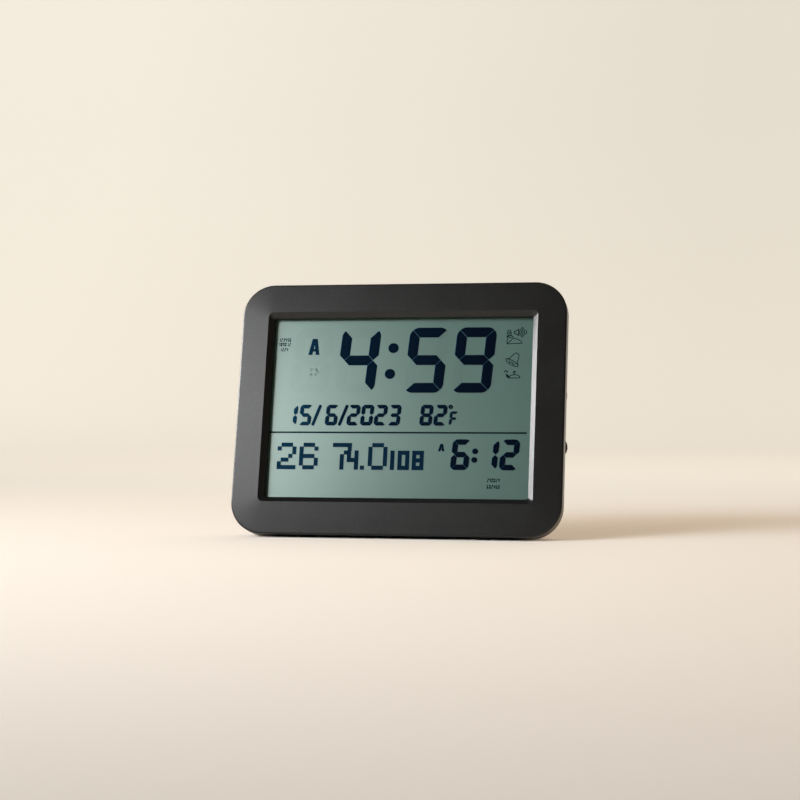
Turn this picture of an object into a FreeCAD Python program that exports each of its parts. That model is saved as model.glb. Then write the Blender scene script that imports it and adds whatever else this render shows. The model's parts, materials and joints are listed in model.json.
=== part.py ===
"""Azan clock: an LCD prayer clock that leans back on a fold-out leg.

Every piece is drawn in the clock's own upright frame: X to the right seen from the front, Y into
the clock from the front face (y = 0), Z up from the middle of the face. Each is then leaned back
and stood on the table, where z = 0 and the origin is under the middle of the whole clock.
"""

import FreeCAD
import Part
import math
import os

V = FreeCAD.Vector
X_AXIS = V(1, 0, 0)
Y_AXIS = V(0, 1, 0)
Z_AXIS = V(0, 0, 1)

# How the clock stands
LEAN_DEG = 13.3
FACE_HEIGHT = 87.75
ORIGIN_X = 0.2
ORIGIN_Y = 15.37

# Front bezel: the face falls back a little from the window to the outer edge
FACE_W = 225.7
FACE_H = 174.7
FACE_FALL = 0.8
FACE_BACK = 2.6
CORNER_R = 22.0
SKIRT_DEPTH = 11.5
WALL = 2.0
FRONT_EDGE_R = 1.2

# Window: a bevelled recess with a short upright step at the display
WINDOW_X = -0.4
WINDOW_Z = 1.05
RECESS_W = 187.7
RECESS_H = 132.9
RECESS_R = 4.0
BEVEL_IN = 3.5
BEVEL_DEPTH = 3.0
LIP_DEPTH = 8.0
FUNNEL_WALL = 3.5
OPENING_W = RECESS_W - 2 * BEVEL_IN
OPENING_H = RECESS_H - 2 * BEVEL_IN
OPENING_R = 2.0

# Rear cover: it narrows towards the back
COVER_INSET = 1.2
COVER_W = FACE_W - 2 * COVER_INSET
COVER_H = FACE_H - 2 * COVER_INSET
COVER_R = CORNER_R - COVER_INSET
COVER_TAPER = 1.8
BACK_Y = 25.0
PANEL_Y = BACK_Y - WALL
COVER_EDGE_R = 2.0
TONGUE_LENGTH = 2.0
TONGUE_WALL = 1.0

# Hump on the back, which holds the cells
HUMP_W = 76.0
HUMP_Z0 = 7.0
HUMP_Z1 = 63.0
HUMP_Y = 30.6
HUMP_R = 5.0
HUMP_MID_Z = (HUMP_Z0 + HUMP_Z1) / 2
BAY_W = 56.5
BAY_H = 46.2
BAY_FLOOR_Y = 15.8
BAY_WALL = 1.5
BAY_Z = 34.5
DOOR_THICK = 1.6
DOOR_TRAVEL = 12.0
TAB_X = 33.2
TAB_LENGTH = 8.0
TAB_STARTS = (12.0, 36.0)
TAB_WEB = 1.2
TAB_FOOT = 1.0

# Cells (AA size)
CELL_R = 7.25
CELL_LENGTH = 49.2
CELL_NUB_R = 2.75
CELL_NUB = 1.0
CELL_PITCH = 15.2
CELL_Y = 23.3
CONTACT_THICK = 0.4

# Stand
STAND_OPEN_DEG = 27.5
HINGE_Y = 28.5
HINGE_Z = 0.0
LEG_W = 61.0
LEG_TIP_W = 48.0
LEG_PLATE = 2.2
LEG_BARREL_R = 3.2
PIN_R = 1.25
RUN_GAP = 0.05
EAR_W = 4.0
EAR_GAP = 0.35
LEG_END_Z = -81.1
STAND_FOOT_W = 34.0

# Foot pads under the bezel's bottom edge
PAD_X = 60.0
PAD_W = 10.0
PAD_Y0 = 7.5
PAD_Y1 = 11.2

# Display stack, from the lip backwards
POLARISER = 0.2
GLASS = 1.1
GLASS_W = 184.5
GLASS_H = 129.5
LEDGE = 5.0
GUIDE = 2.0
SHEET = 0.2
DISPLAY_Y = LIP_DEPTH + 0.1
FRONT_GLASS_Y = DISPLAY_Y + POLARISER
REAR_GLASS_Y = FRONT_GLASS_Y + GLASS
REAR_POLARISER_Y = REAR_GLASS_Y + GLASS
GUIDE_Y = REAR_POLARISER_Y + POLARISER
GUIDE_BACK_Y = GUIDE_Y + GUIDE
HOLDER_PLATE_Y = GUIDE_BACK_Y + SHEET
HOLDER_BACK_Y = HOLDER_PLATE_Y + 1.2
HOLDER_W = 188.5
HOLDER_Z0 = -71.0
HOLDER_Z1 = 67.6

# Boards and what they carry
BOARD = 1.6
MAIN_Y = 15.2
MAIN_W = 186.0
MAIN_H = 65.0
MAIN_Z = -40.5
MAIN_TAB_X = 108.4
CHIP_X = -30.0
CHIP_Z = -42.0
CHIP_BALL_R = 14.0
CHIP_RISE = 2.2
AUDIO_X = 22.0
AUDIO_Z = -42.0
AUDIO_LENGTH = 10.2
AUDIO_WIDTH = 4.0
AUDIO_PINS = 8
PIN_PITCH = 1.27
CRYSTAL_X = -8.0
CRYSTAL_Z = -38.0
CRYSTAL_R = 1.0
CRYSTAL_LENGTH = 6.0
CAPACITOR_SPOTS = ((48, -24), (56, -24), (64, -24), (-56, -22))
CAPACITOR_R = 2.5
CAPACITOR_H = 5.4
KEY_BOARD_X = 74.75
KEY_BOARD_Z = 31.5
KEY_BOARD_W = 62.5
KEY_BOARD_H = 62.0
KEY_BOARD_Y = 16.6
KEY_BOARD_BACK = KEY_BOARD_Y + BOARD

# Keys on the back
KEY_XS = (58.0, 82.0)
KEY_ZS = (56.0, 43.0, 30.0, 17.0)
KEY_NAMES = ("mode", "set", "up", "down", "alarm", "light", "city", "stop")
KEY_W = 15.0
KEY_H = 7.0
KEY_GAP = 0.3
KEY_TOP_Y = 26.2
KEY_FLANGE_Y0 = 21.7
KEY_FLANGE_Y1 = 22.95
STEM_R = 1.6
STEM_END_Y = 20.3
SWITCH_TOP_Y = 20.6
SWITCH_WELL_Y = 18.9
RESET_X = 70.0
RESET_Z = 6.0

# Volume wheel and power switch on the right-hand side
WHEEL_X = 105.25
WHEEL_Z = -23.0
WHEEL_R = 8.0
WHEEL_Y0 = 19.0
WHEEL_Y1 = 21.6
WHEEL_NOTCHES = 40
WHEEL_SLOT = 15.8
ROTOR_R = 1.45
ROTOR_END_Y = 17.4
POT_W = 6.2
POT_H = 12.0
KNOB_Z = 12.8
KNOB_H = 3.4
KNOB_TRAVEL = 4.0
KNOB_Y0 = 18.9
KNOB_Y1 = 21.1
KNOB_TIP_X = 112.1

# Speaker
SPEAKER_X = -73.0
SPEAKER_Z = 34.0
SPEAKER_R = 25.0
SPEAKER_RIM_Y0 = 21.7
SPEAKER_RIM_Y1 = 22.9
BASKET_Y = 17.0
MAGNET_Y = 14.3
MAGNET_R = 12.5
GRILLE_HOLE_R = 1.3
GRILLE_RINGS = 5
GRILLE_PITCH = 4.0
SPEAKER_SCREW_RADIUS = 27.6

# Screws
CASE_SCREWS = ((-100, 75), (100, 75), (-102.5, -8), (102.5, -8), (-100, -75), (100, -75))
BOSS_R = 3.6
CASE_JOIN_Y = 13.0
CASE_HEAD_Y = 15.5
SHANK_R = 1.45
PILOT_R = 1.5
HOLDER_SCREWS = ((-55, 72.0), (55, 72.0), (-55, -75.5), (55, -75.5))
HOLDER_EAR_Y = 11.0
HOLDER_BOSS_R = 3.0
HOLDER_EAR_R = 3.6
PILOT_END_Y = 3.6
MAIN_SCREWS = ((-80, -18), (80, -18), (-80, -58), (80, -58))
KEY_SCREWS = ((70, 50), (70, 23.5), (95.6, 36), (46.6, 36))
SMALL_SHANK_R = 0.95
SMALL_PILOT_R = 1.0

# Keyholes for hanging the clock on a wall
KEYHOLE_X = 60.0
KEYHOLE_Z = 72.5
KEYHOLE_R = 4.5
KEYHOLE_SLOT_R = 2.1
KEYHOLE_RISE = 6.5

WIRE_R = 0.6


def box(x0, x1, y0, y1, z0, z1):
    """A box between two corners."""
    return Part.makeBox(x1 - x0, y1 - y0, z1 - z0, V(x0, y0, z0))


def rod(x, z, radius, y0, y1):
    """A round rod along Y."""
    return Part.makeCylinder(radius, y1 - y0, V(x, y0, z), Y_AXIS)


def rod_x(y, z, radius, x0, x1):
    """A round rod along X."""
    return Part.makeCylinder(radius, x1 - x0, V(x0, y, z), X_AXIS)


def rounded_wire(width, height, radius, y, cx=0.0, cz=0.0):
    """The outline of a rounded rectangle that faces the front."""
    x0 = cx - width / 2
    x1 = cx + width / 2
    z0 = cz - height / 2
    z1 = cz + height / 2
    k = radius * (1 - math.sqrt(0.5))

    def p(x, z):
        return V(x, y, z)

    edges = [
        Part.makeLine(p(x0 + radius, z0), p(x1 - radius, z0)),
        Part.Arc(p(x1 - radius, z0), p(x1 - k, z0 + k), p(x1, z0 + radius)).toShape(),
        Part.makeLine(p(x1, z0 + radius), p(x1, z1 - radius)),
        Part.Arc(p(x1, z1 - radius), p(x1 - k, z1 - k), p(x1 - radius, z1)).toShape(),
        Part.makeLine(p(x1 - radius, z1), p(x0 + radius, z1)),
        Part.Arc(p(x0 + radius, z1), p(x0 + k, z1 - k), p(x0, z1 - radius)).toShape(),
        Part.makeLine(p(x0, z1 - radius), p(x0, z0 + radius)),
        Part.Arc(p(x0, z0 + radius), p(x0 + k, z0 + k), p(x0 + radius, z0)).toShape(),
    ]
    return Part.Wire(edges)


def slab(width, height, radius, y0, y1, cx=0.0, cz=0.0):
    """A rounded rectangle with its thickness along Y."""
    return Part.Face(rounded_wire(width, height, radius, y0, cx, cz)).extrude(V(0, y1 - y0, 0))


def edges_at(shape, y):
    """The edges that lie in the plane at this depth."""
    return [e for e in shape.Edges if all(abs(v.Point.y - y) < 1e-4 for v in e.Vertexes)]


def join(shapes):
    """One solid from several that touch or overlap."""
    whole = shapes[0].multiFuse(shapes[1:]) if len(shapes) > 1 else shapes[0]
    return whole.removeSplitter()


def tube(points, radius):
    """A thin wire along straight runs with ball corners."""
    pieces = []
    for a, b in zip(points, points[1:]):
        way = b.sub(a)
        pieces.append(Part.makeCylinder(radius, way.Length, a, way))
    for corner in points[1:-1]:
        pieces.append(Part.makeSphere(radius, corner))
    return join(pieces)


def pan_screw(x, z, seat_y, tip_y, head_r, shank_r, faces_back=True):
    """A pan-head screw along Y with a cross recess; its head is towards the back or the front."""
    head_h = head_r * 0.62
    sign = 1 if faces_back else -1
    top_y = seat_y + sign * head_h
    head = rod(x, z, head_r, min(seat_y, top_y), max(seat_y, top_y))
    head = head.makeFillet(head_h * 0.45, edges_at(head, top_y))
    shank = rod(x, z, shank_r, min(seat_y, tip_y), max(seat_y, tip_y))
    arm = head_r * 0.62
    slot = head_r * 0.13
    low = top_y - sign * head_h * 0.55
    y0 = min(low, top_y + sign)
    y1 = max(low, top_y + sign)
    cross = box(x - arm, x + arm, y0, y1, z - slot, z + slot)
    cross = cross.fuse(box(x - slot, x + slot, y0, y1, z - arm, z + arm))
    return join([head, shank]).cut(cross)


def screws(spots, *dims, **more):
    """A set of like screws, kept as separate solids."""
    return Part.makeCompound([pan_screw(x, z, *dims, **more) for x, z in spots])


# ---------------------------------------------------------------- case

def face_block():
    """The solid the bezel is cut from."""
    skirt = slab(FACE_W, FACE_H, CORNER_R, FACE_FALL, SKIRT_DEPTH)
    crown = Part.makeLoft(
        [
            rounded_wire(RECESS_W - 2, RECESS_H - 2, RECESS_R - 1, 0, WINDOW_X, WINDOW_Z),
            rounded_wire(FACE_W, FACE_H, CORNER_R, FACE_FALL),
        ],
        True,
        True,
    )
    block = join([skirt, crown])
    return block.makeFillet(FRONT_EDGE_R, edges_at(block, FACE_FALL))


def window_bevel():
    """The sloped sides of the window, as the block they are cut with."""
    ahead = 1.0
    flare = 2 * ahead * BEVEL_IN / BEVEL_DEPTH
    return Part.makeLoft(
        [
            rounded_wire(RECESS_W + flare, RECESS_H + flare, RECESS_R, -ahead, WINDOW_X, WINDOW_Z),
            rounded_wire(OPENING_W, OPENING_H, OPENING_R, BEVEL_DEPTH, WINDOW_X, WINDOW_Z),
        ],
        True,
        True,
    )


def front_bezel():
    """The moulded front: face, skirt, bevelled window and the bosses behind it."""
    inner_w = FACE_W - 2 * WALL
    inner_h = FACE_H - 2 * WALL
    hollow = slab(inner_w, inner_h, CORNER_R - WALL, FACE_BACK, SKIRT_DEPTH + 1)
    funnel = slab(
        OPENING_W + 2 * FUNNEL_WALL, OPENING_H + 2 * FUNNEL_WALL, OPENING_R + 2,
        FACE_BACK - 0.5, LIP_DEPTH, WINDOW_X, WINDOW_Z,
    )
    bosses = [rod(x, z, BOSS_R, FACE_BACK - 0.5, CASE_JOIN_Y) for x, z in CASE_SCREWS]
    bosses += [rod(x, z, HOLDER_BOSS_R, FACE_BACK - 0.5, HOLDER_EAR_Y) for x, z in HOLDER_SCREWS]
    shell = join([face_block().cut(hollow), funnel] + bosses)
    opening = slab(OPENING_W, OPENING_H, OPENING_R, BEVEL_DEPTH, LIP_DEPTH + 1, WINDOW_X, WINDOW_Z)
    shell = shell.cut(window_bevel()).cut(opening)
    pilots = [rod(x, z, PILOT_R, PILOT_END_Y, CASE_JOIN_Y + 1) for x, z in CASE_SCREWS]
    pilots += [rod(x, z, SMALL_PILOT_R, PILOT_END_Y, HOLDER_EAR_Y + 1) for x, z in HOLDER_SCREWS]
    return shell.cut(Part.makeCompound(pilots))


def hump():
    """The raised box on the back, with the cell bay sunk into it."""
    body = slab(HUMP_W, HUMP_Z1 - HUMP_Z0, HUMP_R, PANEL_Y, HUMP_Y, 0, HUMP_MID_Z)
    room = slab(
        HUMP_W - 2 * WALL, HUMP_Z1 - HUMP_Z0 - 2 * WALL, HUMP_R - WALL,
        PANEL_Y - 1, HUMP_Y - WALL, 0, HUMP_MID_Z,
    )
    tub = slab(
        BAY_W + 2 * BAY_WALL, BAY_H + 2 * BAY_WALL, 1.5,
        BAY_FLOOR_Y - BAY_WALL, HUMP_Y - 0.5, 0, BAY_Z,
    )
    return join([body.cut(room), tub])


def tab_slots():
    """Slots in the hump for the door's hooks: narrow where they hold, wide where they let go."""
    cuts = []
    for side in (-1, 1):
        for start in TAB_STARTS:
            z0 = start - 0.3
            z1 = start + TAB_LENGTH + DOOR_TRAVEL + 0.3
            wide_z0 = start + DOOR_TRAVEL - 0.3
            in_x = side * (TAB_X - TAB_WEB / 2 - 0.2)
            web_x = side * (TAB_X + TAB_WEB / 2 + 0.2)
            foot_x = side * (TAB_X + TAB_WEB / 2 + TAB_FOOT + 0.2)
            low, high = sorted((in_x, web_x))
            cuts.append(box(low, high, HUMP_Y - WALL - 0.5, HUMP_Y + 1, z0, z1))
            low, high = sorted((in_x, foot_x))
            cuts.append(box(low, high, HUMP_Y - WALL - 0.5, HUMP_Y + 1, wide_z0, z1))
    return cuts


def grille_cuts():
    """Rings of round holes over the speaker."""
    cuts = [rod(SPEAKER_X, SPEAKER_Z, GRILLE_HOLE_R, PANEL_Y - 1, BACK_Y + 1)]
    for ring in range(1, GRILLE_RINGS + 1):
        count = 6 * ring
        for i in range(count):
            turn = 2 * math.pi * i / count
            x = SPEAKER_X + ring * GRILLE_PITCH * math.cos(turn)
            z = SPEAKER_Z + ring * GRILLE_PITCH * math.sin(turn)
            cuts.append(rod(x, z, GRILLE_HOLE_R, PANEL_Y - 1, BACK_Y + 1))
    return cuts


def keyhole_cuts():
    """Round entry and a narrow slot above it, for a screw head in the wall."""
    cuts = []
    for x in (-KEYHOLE_X, KEYHOLE_X):
        cuts.append(rod(x, KEYHOLE_Z, KEYHOLE_R, PANEL_Y - 1, BACK_Y + 1))
        top = KEYHOLE_Z + KEYHOLE_RISE
        cuts.append(rod(x, top, KEYHOLE_SLOT_R, PANEL_Y - 1, BACK_Y + 1))
        cuts.append(
            box(x - KEYHOLE_SLOT_R, x + KEYHOLE_SLOT_R, PANEL_Y - 1, BACK_Y + 1, KEYHOLE_Z, top)
        )
    return cuts


def key_spots():
    """Each key's name with its place, column by column."""
    places = [(x, z) for x in KEY_XS for z in KEY_ZS]
    return list(zip(KEY_NAMES, places))


def key_cuts():
    """Openings for the eight keys and the reset pin."""
    cuts = []
    for _, (x, z) in key_spots():
        width = KEY_W + 2 * KEY_GAP
        height = KEY_H + 2 * KEY_GAP
        cuts.append(slab(width, height, height / 2 - 0.01, PANEL_Y - 1, BACK_Y + 1, x, z))
    cuts.append(rod(RESET_X, RESET_Z, 1.3, PANEL_Y - 1, BACK_Y + 1))
    return cuts


def tapered(width, height, radius, y):
    """A block as wide as given at the skirt's rim, narrowing with the cover back to y."""
    less = COVER_TAPER * (y - SKIRT_DEPTH) / (BACK_Y - SKIRT_DEPTH)
    return Part.makeLoft(
        [
            rounded_wire(width, height, radius, SKIRT_DEPTH),
            rounded_wire(width - 2 * less, height - 2 * less, radius - less, y),
        ],
        True,
        True,
    )


def cover_shell():
    """The tray itself, with a tongue that goes inside the bezel's skirt."""
    outer = tapered(COVER_W, COVER_H, COVER_R, BACK_Y)
    outer = outer.makeFillet(COVER_EDGE_R, edges_at(outer, BACK_Y))
    inner_w = COVER_W - 2 * WALL
    inner_h = COVER_H - 2 * WALL
    inner_r = COVER_R - WALL
    hollow = tapered(inner_w, inner_h, inner_r, PANEL_Y)
    tongue = slab(
        inner_w + 2 * TONGUE_WALL, inner_h + 2 * TONGUE_WALL, inner_r + TONGUE_WALL,
        SKIRT_DEPTH - TONGUE_LENGTH, SKIRT_DEPTH + 0.5,
    )
    mouth = slab(inner_w, inner_h, inner_r, SKIRT_DEPTH - TONGUE_LENGTH - 1, SKIRT_DEPTH)
    return join([outer, tongue]).cut(mouth).cut(hollow)


def rear_cover():
    """The back of the case, with its hump, bosses, hinge ears and every opening."""
    ears = []
    ear_x = LEG_W / 2 + EAR_GAP
    for x0 in (-ear_x - EAR_W, ear_x):
        ears.append(rod_x(HINGE_Y, HINGE_Z, LEG_BARREL_R, x0, x0 + EAR_W))
        ears.append(
            box(x0, x0 + EAR_W, BACK_Y - 0.5, HINGE_Y,
                HINGE_Z - LEG_BARREL_R, HINGE_Z + LEG_BARREL_R)
        )
    bosses = [rod(x, z, BOSS_R, CASE_JOIN_Y, PANEL_Y + 0.5) for x, z in CASE_SCREWS]
    bosses += [rod(x, z, 2.2, KEY_BOARD_BACK, PANEL_Y + 0.5) for x, z in KEY_SCREWS]
    bosses += [rod(x, z, 1.9, SPEAKER_RIM_Y0, PANEL_Y + 0.5) for x, z in speaker_screw_spots()]
    shell = join([cover_shell()] + bosses)
    under_hump = slab(
        HUMP_W - 2 * WALL, HUMP_Z1 - HUMP_Z0 - 2 * WALL, HUMP_R - WALL,
        PANEL_Y - 1, BACK_Y + 1, 0, HUMP_MID_Z,
    )
    shell = join([shell.cut(under_hump), hump()] + ears)
    bay = slab(BAY_W, BAY_H, 0.8, BAY_FLOOR_Y, HUMP_Y + 1, 0, BAY_Z)
    cuts = [bay] + tab_slots() + grille_cuts() + keyhole_cuts() + key_cuts()
    for x, z in CASE_SCREWS:
        cuts.append(rod(x, z, 2.75, CASE_HEAD_Y, BACK_Y + 1))
        cuts.append(rod(x, z, PILOT_R + 0.1, CASE_JOIN_Y - 1, CASE_HEAD_Y + 1))
    cuts += [rod(x, z, SMALL_PILOT_R, KEY_BOARD_BACK - 1, PANEL_Y) for x, z in KEY_SCREWS]
    cuts += [rod(x, z, SMALL_PILOT_R, SPEAKER_RIM_Y0 - 1, PANEL_Y + 1.2)
             for x, z in speaker_screw_spots()]
    cuts.append(rod_x(HINGE_Y, HINGE_Z, PIN_R, -ear_x - EAR_W - 1, ear_x + EAR_W + 1))
    side_x = COVER_W / 2
    inside_x = side_x - WALL - COVER_TAPER - 0.2
    cuts.append(box(inside_x, side_x + 1, WHEEL_Y0 - 0.4, WHEEL_Y1 + 0.4,
                    WHEEL_Z - WHEEL_SLOT / 2, WHEEL_Z + WHEEL_SLOT / 2))
    cuts.append(box(inside_x, side_x + 1, KNOB_Y0 - 0.3, KNOB_Y1 + 0.3,
                    KNOB_Z - KNOB_H / 2 - 0.3, KNOB_Z + KNOB_H / 2 + KNOB_TRAVEL + 0.3))
    return shell.cut(Part.makeCompound(cuts))


def case_screws():
    """Six long self-tapping screws from the back."""
    return screws(CASE_SCREWS, CASE_HEAD_Y, 4.0, 2.6, SHANK_R)


# ---------------------------------------------------------------- stand and feet

def closed_leg():
    """The leg as it lies against the back, hanging from its barrel."""
    y1 = HINGE_Y + 2.3
    plate_y0 = y1 - LEG_PLATE
    top = HINGE_Z - 1.0
    half = LEG_W / 2
    tip = LEG_TIP_W / 2
    outline = [
        V(-half, plate_y0, top), V(half, plate_y0, top), V(tip, plate_y0, LEG_END_Z),
        V(-tip, plate_y0, LEG_END_Z), V(-half, plate_y0, top),
    ]
    plate = Part.Face(Part.makePolygon(outline)).extrude(V(0, LEG_PLATE, 0))
    upright = [
        e for e in plate.Edges
        if abs(e.Vertexes[0].Point.y - e.Vertexes[1].Point.y) > 1
        and e.Vertexes[0].Point.z < LEG_END_Z + 1
    ]
    plate = plate.makeFillet(6.0, upright)
    slope = (half - tip) / (top - LEG_END_Z)
    ribs = []
    for side in (-1, 1):
        outer_top = side * half
        outer_low = side * (tip + slope * 8)
        wall = side * 1.8
        rim = [
            V(outer_top, BACK_Y + 0.5, top), V(outer_low, BACK_Y + 0.5, LEG_END_Z + 8),
            V(outer_low - wall, BACK_Y + 0.5, LEG_END_Z + 8),
            V(outer_top - wall, BACK_Y + 0.5, top), V(outer_top, BACK_Y + 0.5, top),
        ]
        depth = plate_y0 - BACK_Y - 0.4
        ribs.append(Part.Face(Part.makePolygon(rim)).extrude(V(0, depth, 0)))
    for x in (-10.0, 10.0):
        ribs.append(box(x - 0.8, x + 0.8, BACK_Y + 0.9, plate_y0 + 0.1, LEG_END_Z + 7, top))
    foot_box = box(-tip + 6, tip - 6, BACK_Y + 0.5, plate_y0 + 0.1, LEG_END_Z, LEG_END_Z + 7)
    barrel = rod_x(HINGE_Y, HINGE_Z, LEG_BARREL_R, -half, half)
    return join([plate, barrel, foot_box] + ribs)


def open_stand(shape):
    """Swing a piece of the stand from closed to open."""
    shape.rotate(V(0, HINGE_Y, HINGE_Z), X_AXIS, STAND_OPEN_DEG)
    return shape


def stand_leg():
    """The leg, open, with the heel that stops it against the back."""
    leg = open_stand(closed_leg())
    heel = box(-LEG_W / 2, LEG_W / 2, BACK_Y + 0.08, HINGE_Y - 1.0, 0.4, LEG_BARREL_R)
    leg = join([leg, heel])
    behind_back = box(-60, 60, 0, BACK_Y + 0.07, -90, 20)
    bore = rod_x(HINGE_Y, HINGE_Z, PIN_R + RUN_GAP, -50, 50)
    slot = stand_foot_block(RUN_GAP)
    return leg.cut(behind_back).cut(bore).cut(slot)


def stand_foot_block(gap=0.0):
    """The rubber strip that is set into the leg's end, swung open."""
    half = STAND_FOOT_W / 2 + gap
    block = box(-half, half, BACK_Y + 1.3 - gap, HINGE_Y + 1.0 + gap,
                LEG_END_Z - 6, LEG_END_Z + 3.5 + gap)
    return open_stand(block)


def stand_pin():
    """The steel hinge pin through both ears."""
    end = LEG_W / 2 + EAR_GAP + EAR_W
    return rod_x(HINGE_Y, HINGE_Z, PIN_R, -end, end)


def foot_pad(x):
    """A rubber wedge under the bottom edge that lies flat on the table."""
    top = -FACE_H / 2
    return box(x - PAD_W / 2, x + PAD_W / 2, PAD_Y0, PAD_Y1, top - 3, top)


# ---------------------------------------------------------------- display

def glass_plate(y, thick, drop=0.0, inset=0.0):
    """One layer of the display; drop lengthens its lower edge."""
    half = GLASS_W / 2 - inset
    z1 = WINDOW_Z + GLASS_H / 2 - inset
    z0 = WINDOW_Z - GLASS_H / 2 + inset - drop
    return box(WINDOW_X - half, WINDOW_X + half, y, y + thick, z0, z1)


def lcd_holder():
    """The white frame that presses the display stack against the bezel's lip."""
    mid_z = (HOLDER_Z0 + HOLDER_Z1) / 2
    height = HOLDER_Z1 - HOLDER_Z0
    body = slab(HOLDER_W, height, 2.0, DISPLAY_Y, HOLDER_BACK_Y, WINDOW_X, mid_z)
    ears = [rod(x, z, HOLDER_EAR_R, HOLDER_EAR_Y, HOLDER_BACK_Y) for x, z in HOLDER_SCREWS]
    for x, z in HOLDER_SCREWS:
        inward = z - math.copysign(7, z)
        ears.append(box(x - HOLDER_EAR_R, x + HOLDER_EAR_R, HOLDER_EAR_Y, HOLDER_BACK_Y,
                        min(z, inward), max(z, inward)))
    posts = [rod(x, z, 2.4, HOLDER_BACK_Y - 0.5, MAIN_Y) for x, z in MAIN_SCREWS]
    whole = join([body] + ears + posts)
    gap = 0.2
    half = GLASS_W / 2 + gap
    low = WINDOW_Z - GLASS_H / 2 - gap
    high = WINDOW_Z + GLASS_H / 2 + gap
    room = box(WINDOW_X - half, WINDOW_X + half, LIP_DEPTH - 1, HOLDER_PLATE_Y, low, high)
    ledge = box(WINDOW_X - half, WINDOW_X + half, LIP_DEPTH - 1, REAR_GLASS_Y,
                low - LEDGE, low + 1)
    zebra = box(-80.2, 80.2, REAR_GLASS_Y - 0.5, HOLDER_BACK_Y + 1,
                low - LEDGE + 0.9, low - LEDGE + 4.1)
    lamp = box(WINDOW_X + half - 1, WINDOW_X + half + 1.4, GUIDE_Y - 0.1, HOLDER_PLATE_Y,
               -50.2, 50.2)
    holes = [rod(x, z, SMALL_PILOT_R, HOLDER_EAR_Y - 1, HOLDER_BACK_Y + 1)
             for x, z in HOLDER_SCREWS]
    holes += [rod(x, z, SMALL_PILOT_R, HOLDER_PLATE_Y + 0.5, MAIN_Y + 1) for x, z in MAIN_SCREWS]
    return whole.cut(Part.makeCompound([room, ledge, zebra, lamp] + holes))


def zebra_strip():
    """The rubber connector between the glass's lower ledge and the main board."""
    low = WINDOW_Z - GLASS_H / 2 - 0.2 - LEDGE
    return box(-80, 80, REAR_GLASS_Y, MAIN_Y, low + 1.2, low + 3.8)


def backlight_board():
    """The narrow board that carries the lamps at the guide's right-hand edge."""
    x0 = WINDOW_X + GLASS_W / 2 + 0.8
    return box(x0, x0 + 0.6, GUIDE_Y, GUIDE_BACK_Y, -50, 50)


def backlight_leds():
    """Four lamps that shine into the guide's edge."""
    x1 = WINDOW_X + GLASS_W / 2 + 0.8
    lamps = [box(x1 - 0.7, x1, GUIDE_Y + 0.2, GUIDE_Y + 1.8, z - 1.6, z + 1.6)
             for z in (-36, -12, 12, 36)]
    return Part.makeCompound(lamps)


def light_guide():
    """The clear acrylic sheet, notched for the lamps."""
    return glass_plate(GUIDE_Y, GUIDE)


# ---------------------------------------------------------------- boards

def main_board():
    """The main circuit board, with a tab that reaches out to the volume wheel."""
    board = slab(MAIN_W, MAIN_H, 1.5, MAIN_Y, MAIN_Y + BOARD, 0, MAIN_Z)
    tab = box(MAIN_W / 2 - 3, MAIN_TAB_X, MAIN_Y, MAIN_Y + BOARD, WHEEL_Z - 9, WHEEL_Z + 9)
    whole = join([board, tab])
    holes = [rod(x, z, SMALL_PILOT_R + 0.1, MAIN_Y - 1, MAIN_Y + BOARD + 1)
             for x, z in MAIN_SCREWS]
    return whole.cut(Part.makeCompound(holes))


def controller_chip():
    """The black dome of resin over the clock chip."""
    y = MAIN_Y + BOARD
    ball = Part.makeSphere(CHIP_BALL_R, V(CHIP_X, y + CHIP_RISE - CHIP_BALL_R, CHIP_Z))
    reach = CHIP_BALL_R + 1
    return ball.common(box(CHIP_X - reach, CHIP_X + reach, y, y + CHIP_RISE + 1,
                           CHIP_Z - reach, CHIP_Z + reach))


def audio_chip():
    """A flat chip with a row of bent legs along both sides."""
    y = MAIN_Y + BOARD
    half_l = AUDIO_LENGTH / 2
    half_w = AUDIO_WIDTH / 2
    body = box(AUDIO_X - half_l, AUDIO_X + half_l, y + 0.2, y + 1.8,
               AUDIO_Z - half_w, AUDIO_Z + half_w)
    legs = []
    for i in range(AUDIO_PINS):
        x = AUDIO_X + (i - (AUDIO_PINS - 1) / 2) * PIN_PITCH
        for side in (-1, 1):
            z0, z1 = sorted((AUDIO_Z + side * (half_w - 0.3), AUDIO_Z + side * (half_w + 1.2)))
            legs.append(box(x - 0.2, x + 0.2, y, y + 0.5, z0, z1))
    return join([body] + legs)


def crystal():
    """The tuning-fork crystal's can, lying on the board."""
    y = MAIN_Y + BOARD + CRYSTAL_R
    can = Part.makeCylinder(CRYSTAL_R, CRYSTAL_LENGTH, V(CRYSTAL_X, y, CRYSTAL_Z), X_AXIS)
    leads = [Part.makeCylinder(0.15, 3.0, V(CRYSTAL_X - 3, y - 0.4, CRYSTAL_Z + dz), X_AXIS)
             for dz in (-0.4, 0.4)]
    return join([can] + leads)


def capacitors():
    """Electrolytic capacitors standing on the board."""
    y = MAIN_Y + BOARD
    top = y + CAPACITOR_H
    cans = []
    for x, z in CAPACITOR_SPOTS:
        can = rod(x, z, CAPACITOR_R, y, top)
        cans.append(can.makeFillet(0.5, edges_at(can, top)))
    return Part.makeCompound(cans)


def key_board():
    """The board behind the keys."""
    board = slab(KEY_BOARD_W, KEY_BOARD_H, 1.5, KEY_BOARD_Y, KEY_BOARD_BACK,
                 KEY_BOARD_X, KEY_BOARD_Z)
    holes = [rod(x, z, SMALL_PILOT_R + 0.1, KEY_BOARD_Y - 1, KEY_BOARD_BACK + 1)
             for x, z in KEY_SCREWS]
    return board.cut(Part.makeCompound(holes))


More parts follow.
